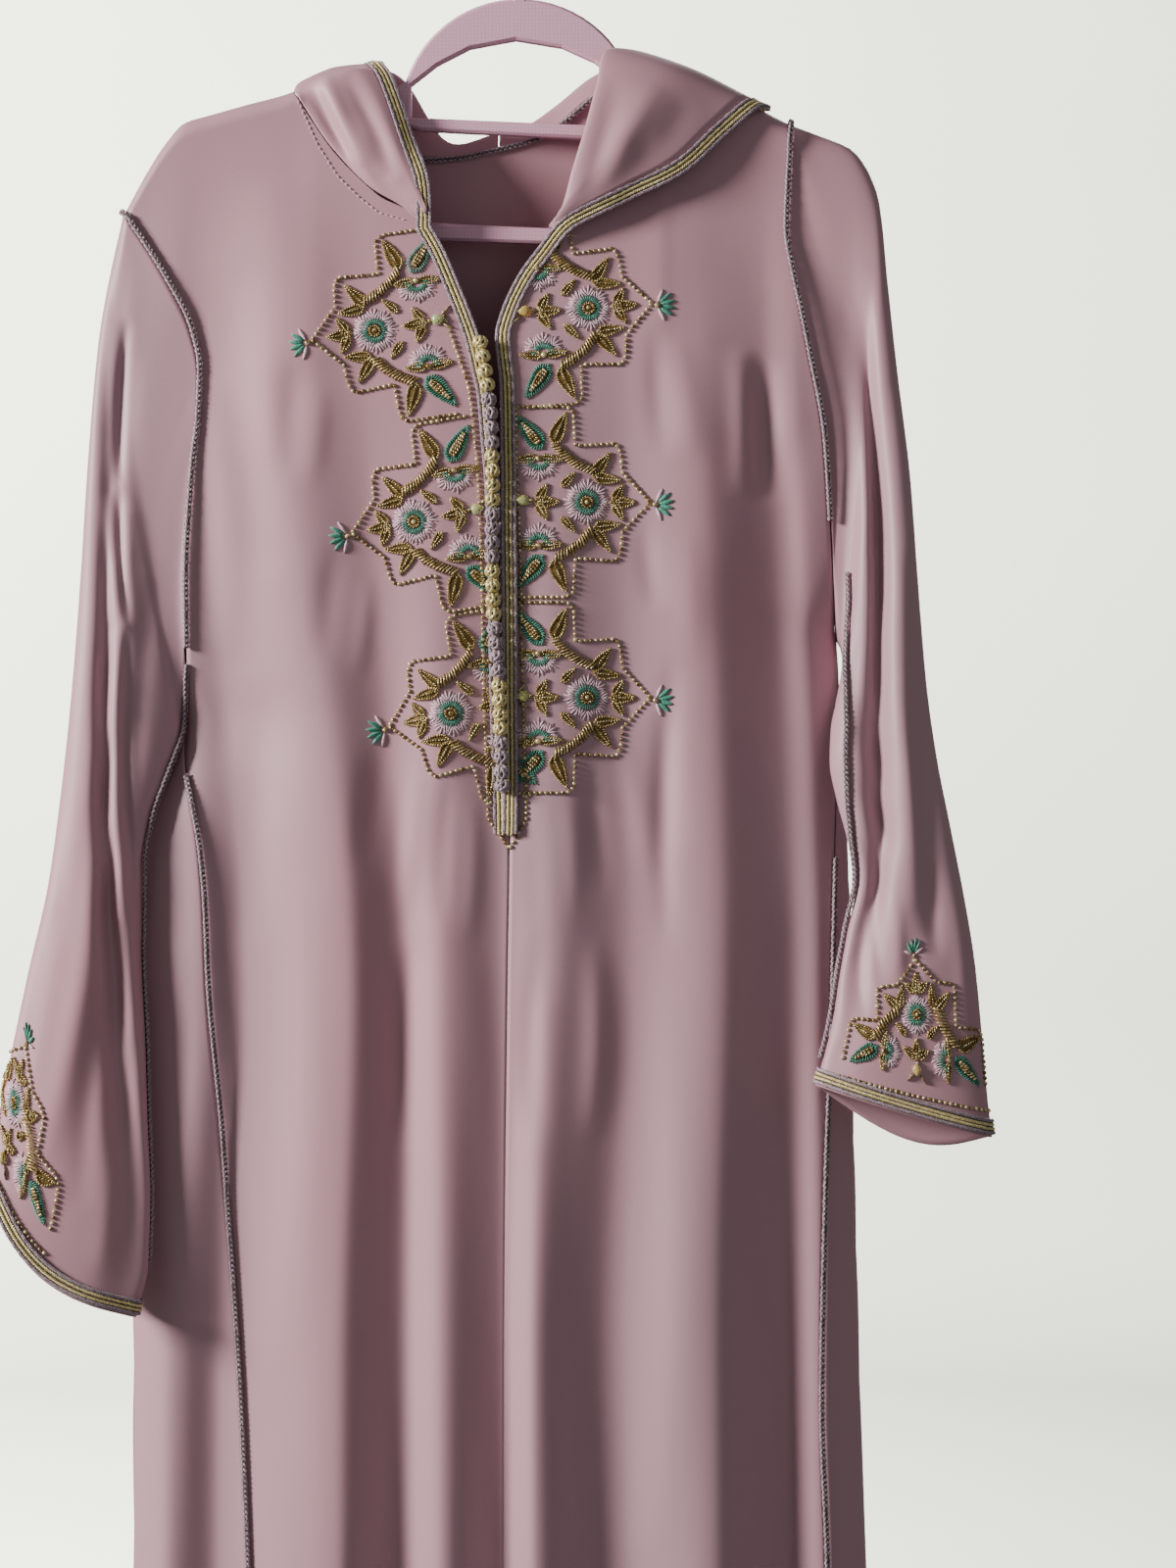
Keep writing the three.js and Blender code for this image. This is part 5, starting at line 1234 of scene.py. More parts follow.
def pad(outline, height, base=-0.35):
    """A padded patch over an outline: rings of points with their heights, and faces; closed below."""
    outline = np.asarray(outline, float)
    count = len(outline)
    middle = outline.mean(0)
    rings = [(1.0, base), (1.0, 0.25 * height), (0.84, 0.72 * height), (0.5, 0.97 * height)]
    points = np.concatenate([middle + (outline - middle) * share for share, _ in rings] + [[middle]])
    heights = np.concatenate([np.full(count, h) for _, h in rings] + [[height]])
    faces = []
    for r in range(len(rings) - 1):
        for n in range(count):
            m = (n + 1) % count
            faces.append((r * count + n, r * count + m, (r + 1) * count + m, (r + 1) * count + n))
    top = (len(rings) - 1) * count
    faces += [(top + n, top + (n + 1) % count, len(points) - 1) for n in range(count)]
    faces.append(tuple(range(count))[::-1])
    return points, heights, faces


def turned(points, angle, shift=(0, 0), scale=1.0):
    c, s = math.cos(angle), math.sin(angle)
    return np.asarray(points) @ np.array([[c, s], [-s, c]]) * scale + np.asarray(shift, float)


def along_lobe(length, width, start=0.0, point=0.55, steps=9):
    """The outline of a leaf as a closed line, to lay a rope along."""
    outline = lobe(length, width, start, point, steps)
    return np.concatenate([outline, outline[:1]])


def arc(radius, start=0.0, end=2 * math.pi, steps=40, lobes=0, swell=0.0):
    """Part of a circle, with its radius swelling in even lobes."""
    angles = np.linspace(start, end, steps)
    reach = radius + swell * np.cos(lobes * angles)
    return np.stack([reach * np.cos(angles), reach * np.sin(angles)], 1)


def motif(kind, size=1.0):
    """One motif, growing along +a from its foot: padded shapes, and lines that carry stitches."""
    pads, lines = [], []

    def put(finish, shape, angle=0.0, shift=(0, 0)):
        points, heights, faces = shape
        pads.append((finish, turned(points, angle, shift) * size, heights, faces))

    def sew(stitch, line, angle=0.0, shift=(0, 0), height=0.5):
        lines.append((stitch, turned(line, angle, shift) * size, height))

    def rope_leaf(length, width, angle=0.0, shift=(0, 0)):
        put("bullion_ground", pad(lobe(length, width), 0.8), angle, shift)
        sew("rope", along_lobe(length, width), angle, shift, 0.9)
        sew("vein", [(length * 0.12, 0), (length * 0.86, 0)], angle, shift, 1.3)

    def fan(radius, start, end):
        sew("petal", arc(radius * 0.77, start, end, 48, 8, 1.0), height=0.5)
        sew("fringe", arc(radius * 0.92, start, end, 48, 8, 1.2), height=0.3)
        sew("green", arc(radius * 0.47, start, end, 30), height=0.9)

    if kind == "flower":
        # The darker padding shows as painted shade between the petal stitches.
        put("petal_ground", pad(arc(11.4, 0.0, 6.0, 21, 8, 0.9), 0.4))
        fan(12.6, 0.0, 2 * math.pi)
        put("bullion_ground", pad(arc(3.6, 0.0, 5.8, 11), 1.5))
        sew("rope", arc(3.2, steps=16), height=1.5)
        put("gold_beads", pad(arc(1.7, 0.0, 5.6, 9), 3.0))
    elif kind == "carnation":
        # The darker padding shows as painted shade between the petal stitches.
        put("petal_ground", pad(np.concatenate([[(-1, 0)], arc(10.8, -1.35, 1.35, 13)]), 0.4))
        fan(12.4, -1.4, 1.4)
        rope_leaf(13.5, 4.6, 1.5, (0, 1.5))
        rope_leaf(13.5, 4.6, -1.5, (0, -1.5))
        put("gold_beads", pad(arc(2.0, 0.0, 5.6, 9), 3.0))
    elif kind == "three_leaf":
        rope_leaf(11.0, 5.6, -1.05, (2.0, -1.2))
        rope_leaf(11.0, 5.6, 1.05, (2.0, 1.2))
        rope_leaf(15.0, 6.6)
    elif kind == "leaf":
        rope_leaf(17.0, 6.4)
    elif kind == "wide_leaf":
        rope_leaf(20.5, 8.2)
    elif kind == "small_leaf":
        rope_leaf(12.5, 4.6)
    elif kind == "green_leaf":
        # The darker padding shows as painted shade between the hatch stitches.
        put("green_ground", pad(lobe(25, 10.5), 0.6))
        sew("hatch", along_lobe(24, 9.6, 0.6), height=0.8)
        put("bullion_ground", pad(lobe(18.0, 6.2, 2.6), 1.3))
        for aside in (-1.6, 0.0, 1.6):
            sew("filling", [(4.6, aside * 0.7), (10, aside * 1.1), (19, aside * 0.3)], height=1.6)
    elif kind == "sprig":
        for angle in (-0.66, -0.2, 0.22, 0.66):
            put("green_silk", pad(lobe(9.6, 2.8, 2.2, 0.9), 1.4), angle)
        for angle in (-1.15, 1.2):
            put("petal_silk", pad(lobe(9.0, 2.0, 1.6, 0.9), 1.3), angle)
        put("gold_beads", pad(lobe(3.6, 3.4, -1.8, 1.0), 2.6))
    elif kind == "drop":
        put("glass_drops", pad(lobe(9.4, 7.4, 0.0, 0.7), 4.0))
        for angle in (-0.62, 0.62):
            put("gold_beads", pad(lobe(8.4, 1.5, 3.0), 2.2), angle, (4.5, math.copysign(1.2, angle)))
        put("gold_beads", pad(lobe(2.8, 2.6, -2.2, 1.0), 2.6))
    elif kind == "stem":
        sew("coil", [(0, 0), (9.5, 1.4), (18.5, 1.2), (27, -1.2)], height=0.9)
        sew("thin_coil", [(0, 0), (9.5, 1.4), (18.5, 1.2), (27, -1.2)], height=1.2)
    return pads, lines


# Stitches and beads by name: finish, spacing, length, width, height, tilt
STITCHES = {
    "rope": ("gold_bullion", 1.5, 2.7, 1.1, 1.5, 0.85),
    "vein": ("gold_beads", 1.6, 2.2, 1.0, 1.2, 0.5),
    "filling": ("gold_beads", 1.9, 2.6, 1.2, 1.4, 0.7),
    "coil": ("gold_bullion", 1.9, 9.0, 1.6, 2.8, 1.05),
    "thin_coil": ("gold_beads", 3.8, 7.6, 1.0, 2.8, 1.05),
    "petal": ("petal_silk", 1.5, 6.8, 1.05, 1.4, 1.5708),
    "fringe": ("petal_silk", 2.2, 4.8, 0.9, 0.9, 1.45),
    "green": ("green_silk", 1.15, 5.0, 0.9, 1.4, 1.5708),
    "hatch": ("green_silk", 1.5, 3.8, 0.95, 1.2, 1.15),
    "beads": ("gold_beads", 3.3, 2.9, 2.8, 2.4, 0.0),
}

# One medallion, in its own millimetres: a away from the opening, b down; then turn and size.
# It is the same above and below its middle line.
MEDALLION = [
    ("flower", 0, 0, 0, 1.0), ("three_leaf", 14.5, 0, 0, 1.0), ("sprig", 41.3, 1.5, 0, 1.0),
    ("three_leaf", -31.5, 0, 0, 1.0), ("drop", -34.5, -1, 180, 0.95),
]
MEDALLION_HALF = [
    ("stem", -19, 34, -36, 1.0), ("leaf", 3.8, 16.5, 52, 1.0), ("leaf", 4.5, 15, -6, 0.95),
    ("small_leaf", -15.2, 9.5, 46, 0.95), ("carnation", -29.2, 26.5, -90, 1.0),
    ("green_leaf", -26.7, 32.5, 129, 1.0), ("wide_leaf", -20.5, 35.5, 67, 1.0),
]
MEDALLION_OUTLINE = [
    (37.5, 1), (29, 10), (21.5, 18), (20.5, 30), (17.5, 35.5), (-7, 34), (-8, 54), (-12, 57.5), (-41, 57.5),
]
MEDALLIONS = [
    (1, 42.4, 257.0, -4.5), (1, 41.4, 374.6, 0.0), (1, 41.4, 492.8, 0.0),
    (-1, -87.0, 270.8, 8.5), (-1, -63.0, 386.6, 10.0), (-1, -40.8, 502.4, 11.5),
]

# The same medallion stands on its side over each cuff: its size, how far up, and its middle
CUFF_SIZE, CUFF_RISE = 0.86, 62.0
CUFF_MIDDLE_RIGHT, CUFF_MIDDLE_LEFT = 19.0, 54.0


def onto_front():
    """Finds the fronts' face at a place seen from ahead: its point and its normal, or nothing."""
    casters = []
    for name in ("front_right", "front_left"):
        mesh = bpy.data.objects[name + "_cloth"].data
        casters.append(BVHTree.FromPolygons(
            [v.co for v in mesh.vertices], [list(p.vertices) for p in mesh.polygons]))

    def find(x, drop):
        for caster in casters:
            spot, normal, _, _ = caster.ray_cast((x * MM, -1.0, -drop * MM), (0, 1, 0))
            if spot is not None and spot.y < 0.004:
                if normal.y > 0:
                    normal = -normal
                return np.array(spot) / MM, np.array(normal)
        return None
    return find


def onto_sleeve(grid, anchor):
    """Finds a place on a sleeve from its distance round the cuff and up from it."""
    normals = outward(grid, True)
    rim = grid[:, -1]
    around = np.concatenate([[0], np.cumsum(np.linalg.norm(np.diff(rim, axis=0), axis=1))])
    total = around[-1] + np.linalg.norm(rim[0] - rim[-1])
    middle = grid.mean(0)
    up = np.concatenate([[0], np.cumsum(np.linalg.norm(np.diff(middle[::-1], axis=0), axis=1))])

    def find(a, b):
        at = np.interp((anchor + a) % total, np.append(around, total), np.arange(len(rim) + 1))
        row = grid.shape[1] - 1 - np.interp(b, up, np.arange(len(up)))
        c0, r0 = int(at) % len(rim), int(min(row, grid.shape[1] - 2))
        c1, ct, rt = (c0 + 1) % len(rim), at - int(at), row - r0
        mix = lambda table: ((table[c0, r0] * (1 - ct) + table[c1, r0] * ct) * (1 - rt)
                             + (table[c0, r0 + 1] * (1 - ct) + table[c1, r0 + 1] * ct) * rt)
        normal = mix(normals)
        normal = normal / np.linalg.norm(normal)
        return mix(grid) + normal * WALL / 2, normal
    return find


class Beadwork:
    """Collects padded shapes by finish, each laid on the cloth point by point."""

    def __init__(self):
        self.parts = {}
        self.lines = {}

    def sew(self, stitch, corners, to_cloth, find, height=0.6):
        self.lines.setdefault(stitch, []).extend(laid_lines(corners, to_cloth, find, height))

    def lay(self, finish, places, heights, faces, find):
        spots = []
        for (x, drop), height in zip(places, heights):
            found = find(x, drop)
            if found is None:
                return False
            spots.append(found[0] + found[1] * height)
        spots = np.array(spots)
        if np.ptp(spots[:, 1]) > 14:
            return False
        points, all_faces = self.parts.setdefault(finish, ([], []))
        start = len(points)
        points.extend(spots.tolist())
        all_faces.extend(tuple(start + n for n in face) for face in faces)
        return True

    def pads(self, finishes):
        """The padded shapes in the named finishes, a mesh for each."""
        return [new_mesh("padding_" + finish, *self.parts[finish], finish_named(finish))
                for finish in finishes if finish in self.parts]

    def stitches(self, names, seed):
        """The named kinds of stitch, grown along every line that carries them."""
        grown = []
        for name in names:
            finish, spacing, length, width, height, tilt = STITCHES[name]
            paths = self.lines.get(name, [])
            if paths:
                grown.append(grow("stitches_" + name, [p for p, _ in paths], [o for _, o in paths],
                                  bpy.data.node_groups["rows_of_stitches"], {
                    "Spacing": spacing * MM, "Length": length * MM, "Width": width * MM, "Height": height * MM,
                    "Tilt": tilt, "Seed": seed, "Material": finish_named(finish)}))
        return grown


def lay_motif(work, row, to_cloth, find):
    """Lay one motif of a chart on the cloth: its padded shapes and its lines of stitches."""
    kind, a, b, turn, size = row
    pads, lines = motif(kind, size)
    for finish, points, heights, faces in pads:
        work.lay(finish, to_cloth(turned(points, math.radians(turn), (a, b))), heights, faces, find)
    for stitch, line, height in lines:
        work.sew(stitch, turned(line, math.radians(turn), (a, b)), to_cloth, find, height)


def laid_lines(corners, to_cloth, find, height, step=1.2):
    """A line of corners laid on the cloth as paths with outward directions, split where it leaves it."""
    corners = np.asarray(corners, float)
    lengths = np.concatenate([[0], np.cumsum(np.linalg.norm(np.diff(corners, axis=0), axis=1))])
    at = np.linspace(0, lengths[-1], max(int(lengths[-1] / step), 3))
    line = to_cloth(np.stack([np.interp(at, lengths, corners[:, n]) for n in range(2)], 1))
    runs, current = [], []
    for x, drop in line:
        found = find(x, drop)
        if found is not None and (not current or np.linalg.norm(found[0] - current[-1][0]) < 6):
            current.append(found)
        else:
            if len(current) > 2:
                runs.append(current)
            current = [found] if found is not None else []
    if len(current) > 2:
        runs.append(current)
    return [(np.array([spot + normal * height for spot, normal in run]), np.array([normal for _, normal in run]))
            for run in runs]


def mirrored_low(rows):
    """The lower half of a motif's parts turned over for its other half."""
    return rows + [(kind, a, -b, -turn, size) for kind, a, b, turn, size in rows]


# ---------------------------------------------------------------- settings

class DjellabaCloth(bpy.types.PropertyGroup):
    """Cloth and hanger colours."""
    cloth_colour: FloatVectorProperty(
        name="Crepe", description="Main colour of the crepe", subtype="COLOR", size=4, min=0, max=1,
        default=linear("#B48F9B"))
    cloth_warm: FloatVectorProperty(
        name="Crepe, warm", description="Slightly pinker cloth in wide soft patches", subtype="COLOR", size=4,
        min=0, max=1, default=linear("#BA8D99"))
    # Painted shade in the hollows of the weave, laid along the fine grain.
    cloth_hollow_shade: FloatVectorProperty(
        name="Crepe, grain", description="Colour in the hollows of the weave", subtype="COLOR", size=4,
        min=0, max=1, default=linear("#8A6F78"))
    hanger_colour: FloatVectorProperty(
        name="Hanger", description="Colour of the moulded hanger", subtype="COLOR", size=4, min=0, max=1,
        default=linear("#E4B4CB"))
    # Painted shade in the lines of the hanger's relief.
    hanger_relief_shade: FloatVectorProperty(
        name="Hanger relief", description="Colour in the lines of the hanger's relief", subtype="COLOR", size=4,
        min=0, max=1, default=linear("#D79FBA"))


class DjellabaTrims(bpy.types.PropertyGroup):
    """Braids, cords and knotted buttons."""
    # Painted highlight on the crowns of the gold plait.
    gold_light: FloatVectorProperty(
        name="Gold thread", description="Crowns of the gold plait", subtype="COLOR", size=4, min=0, max=1,
        default=linear("#EADFAE"))
    # Painted shade in the gaps of the gold plait.
    gold_shade: FloatVectorProperty(
        name="Gold thread, shade", description="Gaps of the gold plait", subtype="COLOR", size=4, min=0, max=1,
        default=linear("#BFAB6A"))
    # Painted highlight on the crowns of the lilac plait.
    lilac_light: FloatVectorProperty(
        name="Lilac thread", description="Crowns of the lilac plait", subtype="COLOR", size=4, min=0, max=1,
        default=linear("#B7A5B0"))
    # Painted shade in the gaps of the lilac plait.
    lilac_shade: FloatVectorProperty(
        name="Lilac thread, shade", description="Gaps of the lilac plait", subtype="COLOR", size=4, min=0, max=1,
        default=linear("#7D6872"))
    cord_radius: FloatProperty(
        name="Cord radius", description="Half the width of a seam cord", default=2.1 * MM, unit="LENGTH")


class DjellabaBeadwork(bpy.types.PropertyGroup):
    """Raised embroidery, beads and glass drops."""
    bullion_light: FloatVectorProperty(
        name="Bullion", description="Light on the coiled gold wire", subtype="COLOR", size=4, min=0, max=1,
        default=linear("#D6BE84"))
    # Painted shade in the gaps of the coiled gold wire; also the darker beads.
    bullion_shade: FloatVectorProperty(
        name="Bullion, shade", description="Gaps of the coiled gold wire", subtype="COLOR", size=4, min=0, max=1,
        default=linear("#76602F"))
    bead_light: FloatVectorProperty(
        name="Beads", description="Gold glass beads", subtype="COLOR", size=4, min=0, max=1,
        default=linear("#E8D8A8"))
    green: FloatVectorProperty(
        name="Green silk", description="Leaves and flower rings", subtype="COLOR", size=4, min=0, max=1,
        default=linear("#4F9E88"))
    petal: FloatVectorProperty(
        name="Petal silk", description="Petals", subtype="COLOR", size=4, min=0, max=1, default=linear("#E8CFD8"))
    seed: IntProperty(name="Seed", description="Seed of the small unevenness of the beads", default=11, min=0)


# ---------------------------------------------------------------- one operator for each group of pieces

class DJELLABA_OT_hanger(bpy.types.Operator):
    """The moulded hanger keeps its solid's shape and gets its plastic."""
    bl_idname = "djellaba.hanger"
    bl_label = "Hanger"

    def execute(self, context):
        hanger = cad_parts["hanger"]
        hanger.data.materials.clear()
        hanger.data.materials.append(finish_named("moulded_polypropylene"))
        return {"FINISHED"}


def cloth_piece(name, grid, closed):
    piece = cloth_shell(name + "_cloth", grid, finish_named("satin_crepe"), closed, WALL)
    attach(piece, "root")
    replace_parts(piece, name)
    return piece


class DJELLABA_OT_body(bpy.types.Operator):
    """The two fronts and the back, hung from the shoulders in long soft folds."""
    bl_idname = "djellaba.body"
    bl_label = "Fronts and back"

    def execute(self, context):
        form = forms()
        cloth_piece("front_right", form["front_right"], False)
        cloth_piece("front_left", form["front_left"], False)
        cloth_piece("back", form["back"], False)
        return {"FINISHED"}


class DJELLABA_OT_sleeves(bpy.types.Operator):
    """The two sleeves, tubes that widen to the cuff and fold flat where they hang."""
    bl_idname = "djellaba.sleeves"
    bl_label = "Sleeves"

    def execute(self, context):
        form = forms()
        cloth_piece("sleeve_right", form["sleeve_right"], True)
        cloth_piece("sleeve_left", form["sleeve_left"], True)
        return {"FINISHED"}


class DJELLABA_OT_hood(bpy.types.Operator):
    """The hood, pushed back off the neck so that it hangs as a bag behind."""
    bl_idname = "djellaba.hood"
    bl_label = "Hood"

    def execute(self, context):
        form = forms()
        cloth_piece("hood_right", form["hood_right"], False)
        cloth_piece("hood_left", form["hood_left"], False)
        return {"FINISHED"}


class DJELLABA_OT_braids(bpy.types.Operator):
    """The three-part braid along the opening, the hood's edge and the cuffs."""
    bl_idname = "djellaba.braids"
    bl_label = "Braids"

    def execute(self, context):
        form = forms()
        lift = WALL / 2 + 0.9
        rise = lambda drop: lift + 2.2 * smooth((drop - BRAID_CROSSING[0]) / (BRAID_CROSSING[1] - BRAID_CROSSING[0]))
        starts = {"right": (0, lift, 1, 9), "left": (BRAID_START_LEFT, rise, 2, 8)}
        for side in ("right", "left"):
            start, height, column, first = starts[side]
            hood_path, hood_outs = hood_edge(form["hood_" + side])
            hood_path, hood_outs = hood_path[first:], hood_outs[first:]
            piece = trim("hood_braid_" + side, hood_path, hood_outs, both_faces=True)
            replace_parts(piece, "hood_braid_" + side)
            grid = form["sleeve_" + side]
            normals = outward(grid, True)
            rim = grid[:, -1] + (grid[:, -2] - grid[:, -1]) / np.linalg.norm(
                grid[:, -2] - grid[:, -1], axis=1, keepdims=True) * 6.0
            path = rim + normals[:, -2] * lift
            path = np.concatenate([path, path[:1]])
            outs = np.concatenate([normals[:, -2], normals[:1, -2]])
            piece = trim("cuff_braid_" + side, path, outs)
            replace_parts(piece, "cuff_braid_" + side)
            path, outs = down_column(
                form["front_" + side], -1, start, PLACKET_END, height, follow(BRAID_ASIDE, column), -1)
            path, outs = carried_on(hood_path, hood_outs * np.sign(-hood_outs[:1, 1:2]), path, outs)
            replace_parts(trim("placket_braid_" + side, path, outs), "placket_braid_" + side)
        return {"FINISHED"}


class DJELLABA_OT_cords(bpy.types.Operator):
    """The plaited cords over the armholes, side seams, underarm seams and the back of the neck."""
    bl_idname = "djellaba.cords"
    bl_label = "Seam cords"

    def execute(self, context):
        form = forms()
        radius = context.scene.djellaba_trims.cord_radius / MM
        lift = WALL / 2 + radius
        right, left, back = form["front_right"], form["front_left"], form["back"]
        plaited_cord("armhole_cord_right", *over_shoulder(right, back, 0, ARMHOLE_CORD_END_RIGHT, lift), radius)
        plaited_cord("armhole_cord_left", *over_shoulder(left, back, -1, ARMHOLE_CORD_END_LEFT, lift), radius)
        plaited_cord("side_cord_right", *down_column(right, 0, SIDE_CORD_START_RIGHT, HEM_DROP, lift), radius)
        plaited_cord("side_cord_left", *down_column(left, 0, SIDE_CORD_START_LEFT, HEM_DROP, lift), radius)
        plaited_cord("underarm_cord_right", *down_sleeve(
            form["sleeve_right"], SLEEVE_RIGHT, UNDERARM_RIGHT, lift), radius)
        plaited_cord("underarm_cord_left", *down_sleeve(
            form["sleeve_left"], SLEEVE_LEFT, UNDERARM_LEFT, lift), radius)
        plaited_cord("neck_cord", *neck_line(back, lift), radius)
        return {"FINISHED"}


class DJELLABA_OT_buttons(bpy.types.Operator):
    """The column of knotted buttons, four gold and four lilac by turns."""
    bl_idname = "djellaba.buttons"
    bl_label = "Knotted buttons"

    def execute(self, context):
        line = follow(BUTTON_LINE)
        template, core = knot_mesh(), shade_core_mesh()
        for name, phase, finish in (("buttons_gold", 0, "gold_thread"), ("buttons_lilac", 1, "lilac_thread")):
            numbers = [n for n in range(BUTTON_COUNT) if (n // 4) % 2 == phase]
            drops = np.array([BUTTON_FIRST + (BUTTON_LAST - BUTTON_FIRST) * n / (BUTTON_COUNT - 1) for n in numbers])
            x = line(drops)
            raised = smooth((drops - BUTTON_CROSSING[0]) / (BUTTON_CROSSING[1] - BUTTON_CROSSING[0]))
            y = body_y(x, drops, FRONT) - 6.6 - 1.9 * raised
            tree = bpy.data.node_groups["column_of_knots"]
            turns = grow(name + "_turns", [place(x, y, drops)], None, tree, {
                "Knot": template, "Seed": 5 + phase, "Material": finish_named(finish)})
            # The dark ball inside each knot is painted shade between its turns.
            cores = grow(name + "_cores", [place(x, y, drops)], None, tree, {
                "Knot": core, "Seed": 1, "Material": finish_named("lilac_shade_core")})
            piece = join(name, [turns, cores])
            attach(piece, "root")
            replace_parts(piece, *["button_%02d" % (n + 1) for n in numbers])
        bpy.data.objects.remove(template)
        bpy.data.objects.remove(core)
        return {"FINISHED"}


class DJELLABA_OT_beadwork(bpy.types.Operator):
    """Three medallions down each side of the opening and a pointed one on each cuff."""
    bl_idname = "djellaba.beadwork"
    bl_label = "Beadwork"

    def execute(self, context):
        work = Beadwork()
        find = onto_front()
        for side, x, drop, tilt in MEDALLIONS:
            def to_cloth(local, side=side, x=x, drop=drop, tilt=tilt):
                points = turned(local, math.radians(tilt))
                return np.stack([x + side * points[:, 0], drop + points[:, 1]], 1)
            self.medallion(work, to_cloth, find)
        for side, opening, aside in ((-1, opening_right, 13.0), (1, opening_left, 10.5)):
            drops = np.linspace(262 if side < 0 else 318, 566, 60)
            corners = [(float(opening(d)) + side * aside, d) for d in drops] + [PLACKET_TIP]
            work.sew("beads", corners, lambda local: local, find)
        for side, middle in (("right", CUFF_MIDDLE_RIGHT), ("left", CUFF_MIDDLE_LEFT)):
            on_sleeve = onto_sleeve(forms()["sleeve_" + side], middle)
            self.medallion(work, lambda local: np.stack(
                [local[:, 1] * CUFF_SIZE, CUFF_RISE + local[:, 0] * CUFF_SIZE], 1), on_sleeve)
            work.sew("beads", [(-50, 13), (50, 13)], lambda local: local, on_sleeve)
        seed = context.scene.djellaba_beadwork.seed
        self.keep("beadwork_gold", work.pads(["bullion_ground"])
                  + work.stitches(["rope", "vein", "filling", "coil", "thin_coil"], seed))
        self.keep("beadwork_silk", work.pads(
            ["green_ground", "petal_ground", "green_silk", "petal_silk", "glass_drops", "gold_beads"])
                  + work.stitches(["petal", "fringe", "green", "hatch", "beads"], seed))
        return {"FINISHED"}

    def medallion(self, work, to_cloth, find):
        for row in MEDALLION + mirrored_low(MEDALLION_HALF):
            lay_motif(work, row, to_cloth, find)
        for flip in (1, -1):
            work.sew("beads", [(a, b * flip) for a, b in MEDALLION_OUTLINE], to_cloth, find)

    def keep(self, name, pieces):
        piece = join(name, pieces)
        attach(piece, "root")


class DJELLABA_OT_stitching(bpy.types.Operator):
    """The rows of stitching that show: beside the neck seam and round the hem."""
    bl_idname = "djellaba.stitching"
    bl_label = "Stitching"

    def execute(self, context):
        find = onto_front()
        corners = [(-134.4, 129.8), (-123, 155.6), (-111, 174.8), (-97.8, 188), (-85.2, 198.2), (-70.2, 202.4)]
        rows = laid_lines(corners, lambda local: local, find, 0.5)
        lines, outs = [path for path, _ in rows], [out for _, out in rows]
        for side in ("right", "left"):
            grid = forms()["front_" + side]
            path, out = grid[:, -6], outward(grid)[:, -6]
            lines.append(path + out * (WALL / 2 + 0.1))
            outs.append(out)
        grid = forms()["back"]
        out = outward(grid)[:, -6]
        lines.append(grid[:, -6] + out * (WALL / 2 + 0.1))
        outs.append(out)
        piece = grow("stitching", lines, outs, bpy.data.node_groups["rows_of_stitches"], {
            "Spacing": 3.4 * MM, "Length": 2.7 * MM, "Width": 0.8 * MM, "Height": 0.7 * MM,
            "Seed": 2, "Material": finish_named("petal_silk")})
        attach(piece, "root")
        return {"FINISHED"}


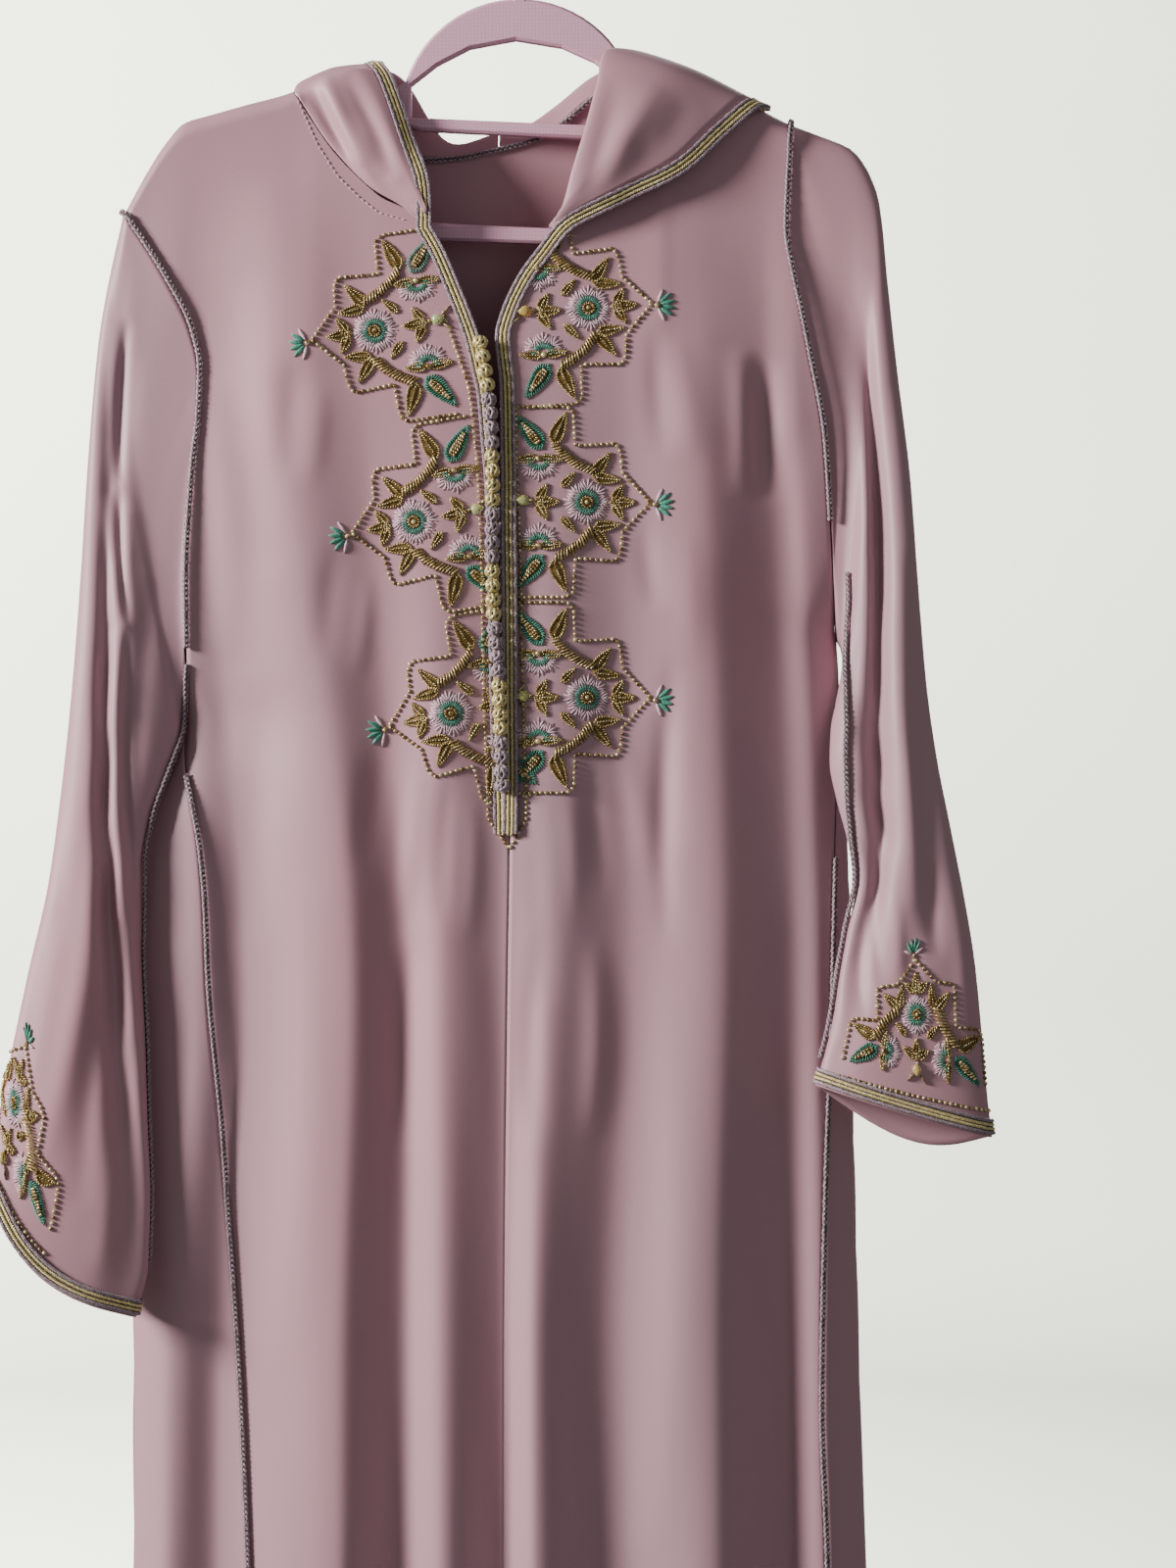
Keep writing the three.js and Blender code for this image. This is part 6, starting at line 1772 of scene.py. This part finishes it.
class DJELLABA_OT_stage(bpy.types.Operator):
    """Pale floor and background all round, soft light from the wearer's right, and the camera."""
    bl_idname = "djellaba.stage"
    bl_label = "Stage"

    def execute(self, context):
        scene = context.scene
        ring = np.linspace(0, 2 * math.pi, 65)[:-1]
        profile = [(0.0, -2.0), (6.6, -2.0), (7.1, -1.9), (7.4, -1.6), (7.5, -1.1), (7.5, 5.0)]
        points, faces = [(0, 0, -2000)], []
        for radius, z in profile[1:]:
            points += [(radius * 1000 * math.cos(a), radius * 1000 * math.sin(a), z * 1000) for a in ring]
        count = len(ring)
        faces += [(0, 1 + n, 1 + (n + 1) % count) for n in range(count)]
        for r in range(len(profile) - 2):
            a, b = 1 + r * count, 1 + (r + 1) * count
            faces += [(a + n, b + n, b + (n + 1) % count, a + (n + 1) % count) for n in range(count)]
        backdrop = new_mesh("backdrop", points, faces, finish_named("background_paper"))
        # The lamps that light the background don't light the cloth by way of it.
        backdrop.visible_diffuse = False
        backdrop.visible_glossy = False
        world = bpy.data.worlds.new("studio")
        world.use_nodes = True
        world.node_tree.nodes["Background"].inputs["Color"].default_value = linear("#F0F0EA")
        world.node_tree.nodes["Background"].inputs["Strength"].default_value = 0.22
        scene.world = world
        self.lamp("window", (-2.9, -1.15, 0.45), (0.05, 0, -0.6), 0.9, 230, "#FFF8F2")
        self.lamp("fill", (1.8, -2.6, 0.2), (0.05, 0, -0.6), 2.2, 5, "#EEF2FF")
        self.lamp("back_light", (0.8, 2.6, 1.0), (0.05, 0, -0.6), 2.0, 55, "#FFFFFF")
        self.lamp("wall_light", (-2.6, 3.0, 1.6), (0.2, 7.4, -0.6), 3.0, 1500, "#FDFFF6")
        self.lamp("wall_light_front", (0.6, -3.4, 1.6), (0.0, -7.4, -0.6), 3.0, 1500, "#FDFFF6")
        self.lamp("wall_light_right", (-3.4, 0.0, 1.6), (-7.4, 0.0, -0.6), 3.0, 1300, "#FDFFF6")
        self.lamp("wall_light_left", (3.4, 0.0, 1.6), (7.4, 0.0, -0.6), 3.0, 1300, "#FDFFF6")
        camera = bpy.data.cameras.new("camera")
        camera.sensor_width = 36.0
        camera.lens = 82.5
        camera.clip_end = 50
        holder = bpy.data.objects.new("camera", camera)
        holder.location = (0.042, -2.2, -0.545)
        holder.rotation_euler = (math.pi / 2, 0, 0)
        scene.collection.objects.link(holder)
        scene.camera = holder
        return {"FINISHED"}

    def lamp(self, name, place_at, aim, size, power, colour):
        light = bpy.data.lights.new(name, "AREA")
        light.shape = "DISK"
        light.size = size
        light.energy = power
        light.color = linear(colour)[:3]
        holder = bpy.data.objects.new(name, light)
        holder.location = place_at
        direction = np.array(aim) - np.array(place_at)
        holder.rotation_euler = Vector(direction).to_track_quat("-Z", "Y").to_euler()
        bpy.context.scene.collection.objects.link(holder)


class DJELLABA_PT_panel(bpy.types.Panel):
    """The djellaba's pieces and settings."""
    bl_idname = "DJELLABA_PT_panel"
    bl_label = "Djellaba"
    bl_space_type = "VIEW_3D"
    bl_region_type = "UI"
    bl_category = "Djellaba"

    def draw(self, context):
        for kind in OPERATORS:
            self.layout.operator(kind.bl_idname)
        for settings in (context.scene.djellaba_cloth, context.scene.djellaba_trims, context.scene.djellaba_beadwork):
            for name in settings.__annotations__:
                self.layout.prop(settings, name)


OPERATORS = (
    DJELLABA_OT_hanger, DJELLABA_OT_body, DJELLABA_OT_sleeves, DJELLABA_OT_hood, DJELLABA_OT_braids,
    DJELLABA_OT_cords, DJELLABA_OT_buttons, DJELLABA_OT_beadwork, DJELLABA_OT_stitching, DJELLABA_OT_stage,
)
SETTINGS = (DjellabaCloth, DjellabaTrims, DjellabaBeadwork)


def register():
    for kind in SETTINGS + OPERATORS + (DJELLABA_PT_panel,):
        bpy.utils.register_class(kind)
    bpy.types.Scene.djellaba_cloth = PointerProperty(type=DjellabaCloth)
    bpy.types.Scene.djellaba_trims = PointerProperty(type=DjellabaTrims)
    bpy.types.Scene.djellaba_beadwork = PointerProperty(type=DjellabaBeadwork)


def unregister():
    del bpy.types.Scene.djellaba_cloth, bpy.types.Scene.djellaba_trims, bpy.types.Scene.djellaba_beadwork
    for kind in reversed(SETTINGS + OPERATORS + (DJELLABA_PT_panel,)):
        bpy.utils.unregister_class(kind)


def main():
    register()
    stitch_tree()
    plait_tree()
    knot_tree()
    bpy.ops.djellaba.hanger()
    bpy.ops.djellaba.body()
    bpy.ops.djellaba.sleeves()
    bpy.ops.djellaba.hood()
    bpy.ops.djellaba.braids()
    bpy.ops.djellaba.cords()
    bpy.ops.djellaba.buttons()
    bpy.ops.djellaba.beadwork()
    bpy.ops.djellaba.stitching()
    bpy.ops.djellaba.stage()


if __name__ == "__main__":
    main()
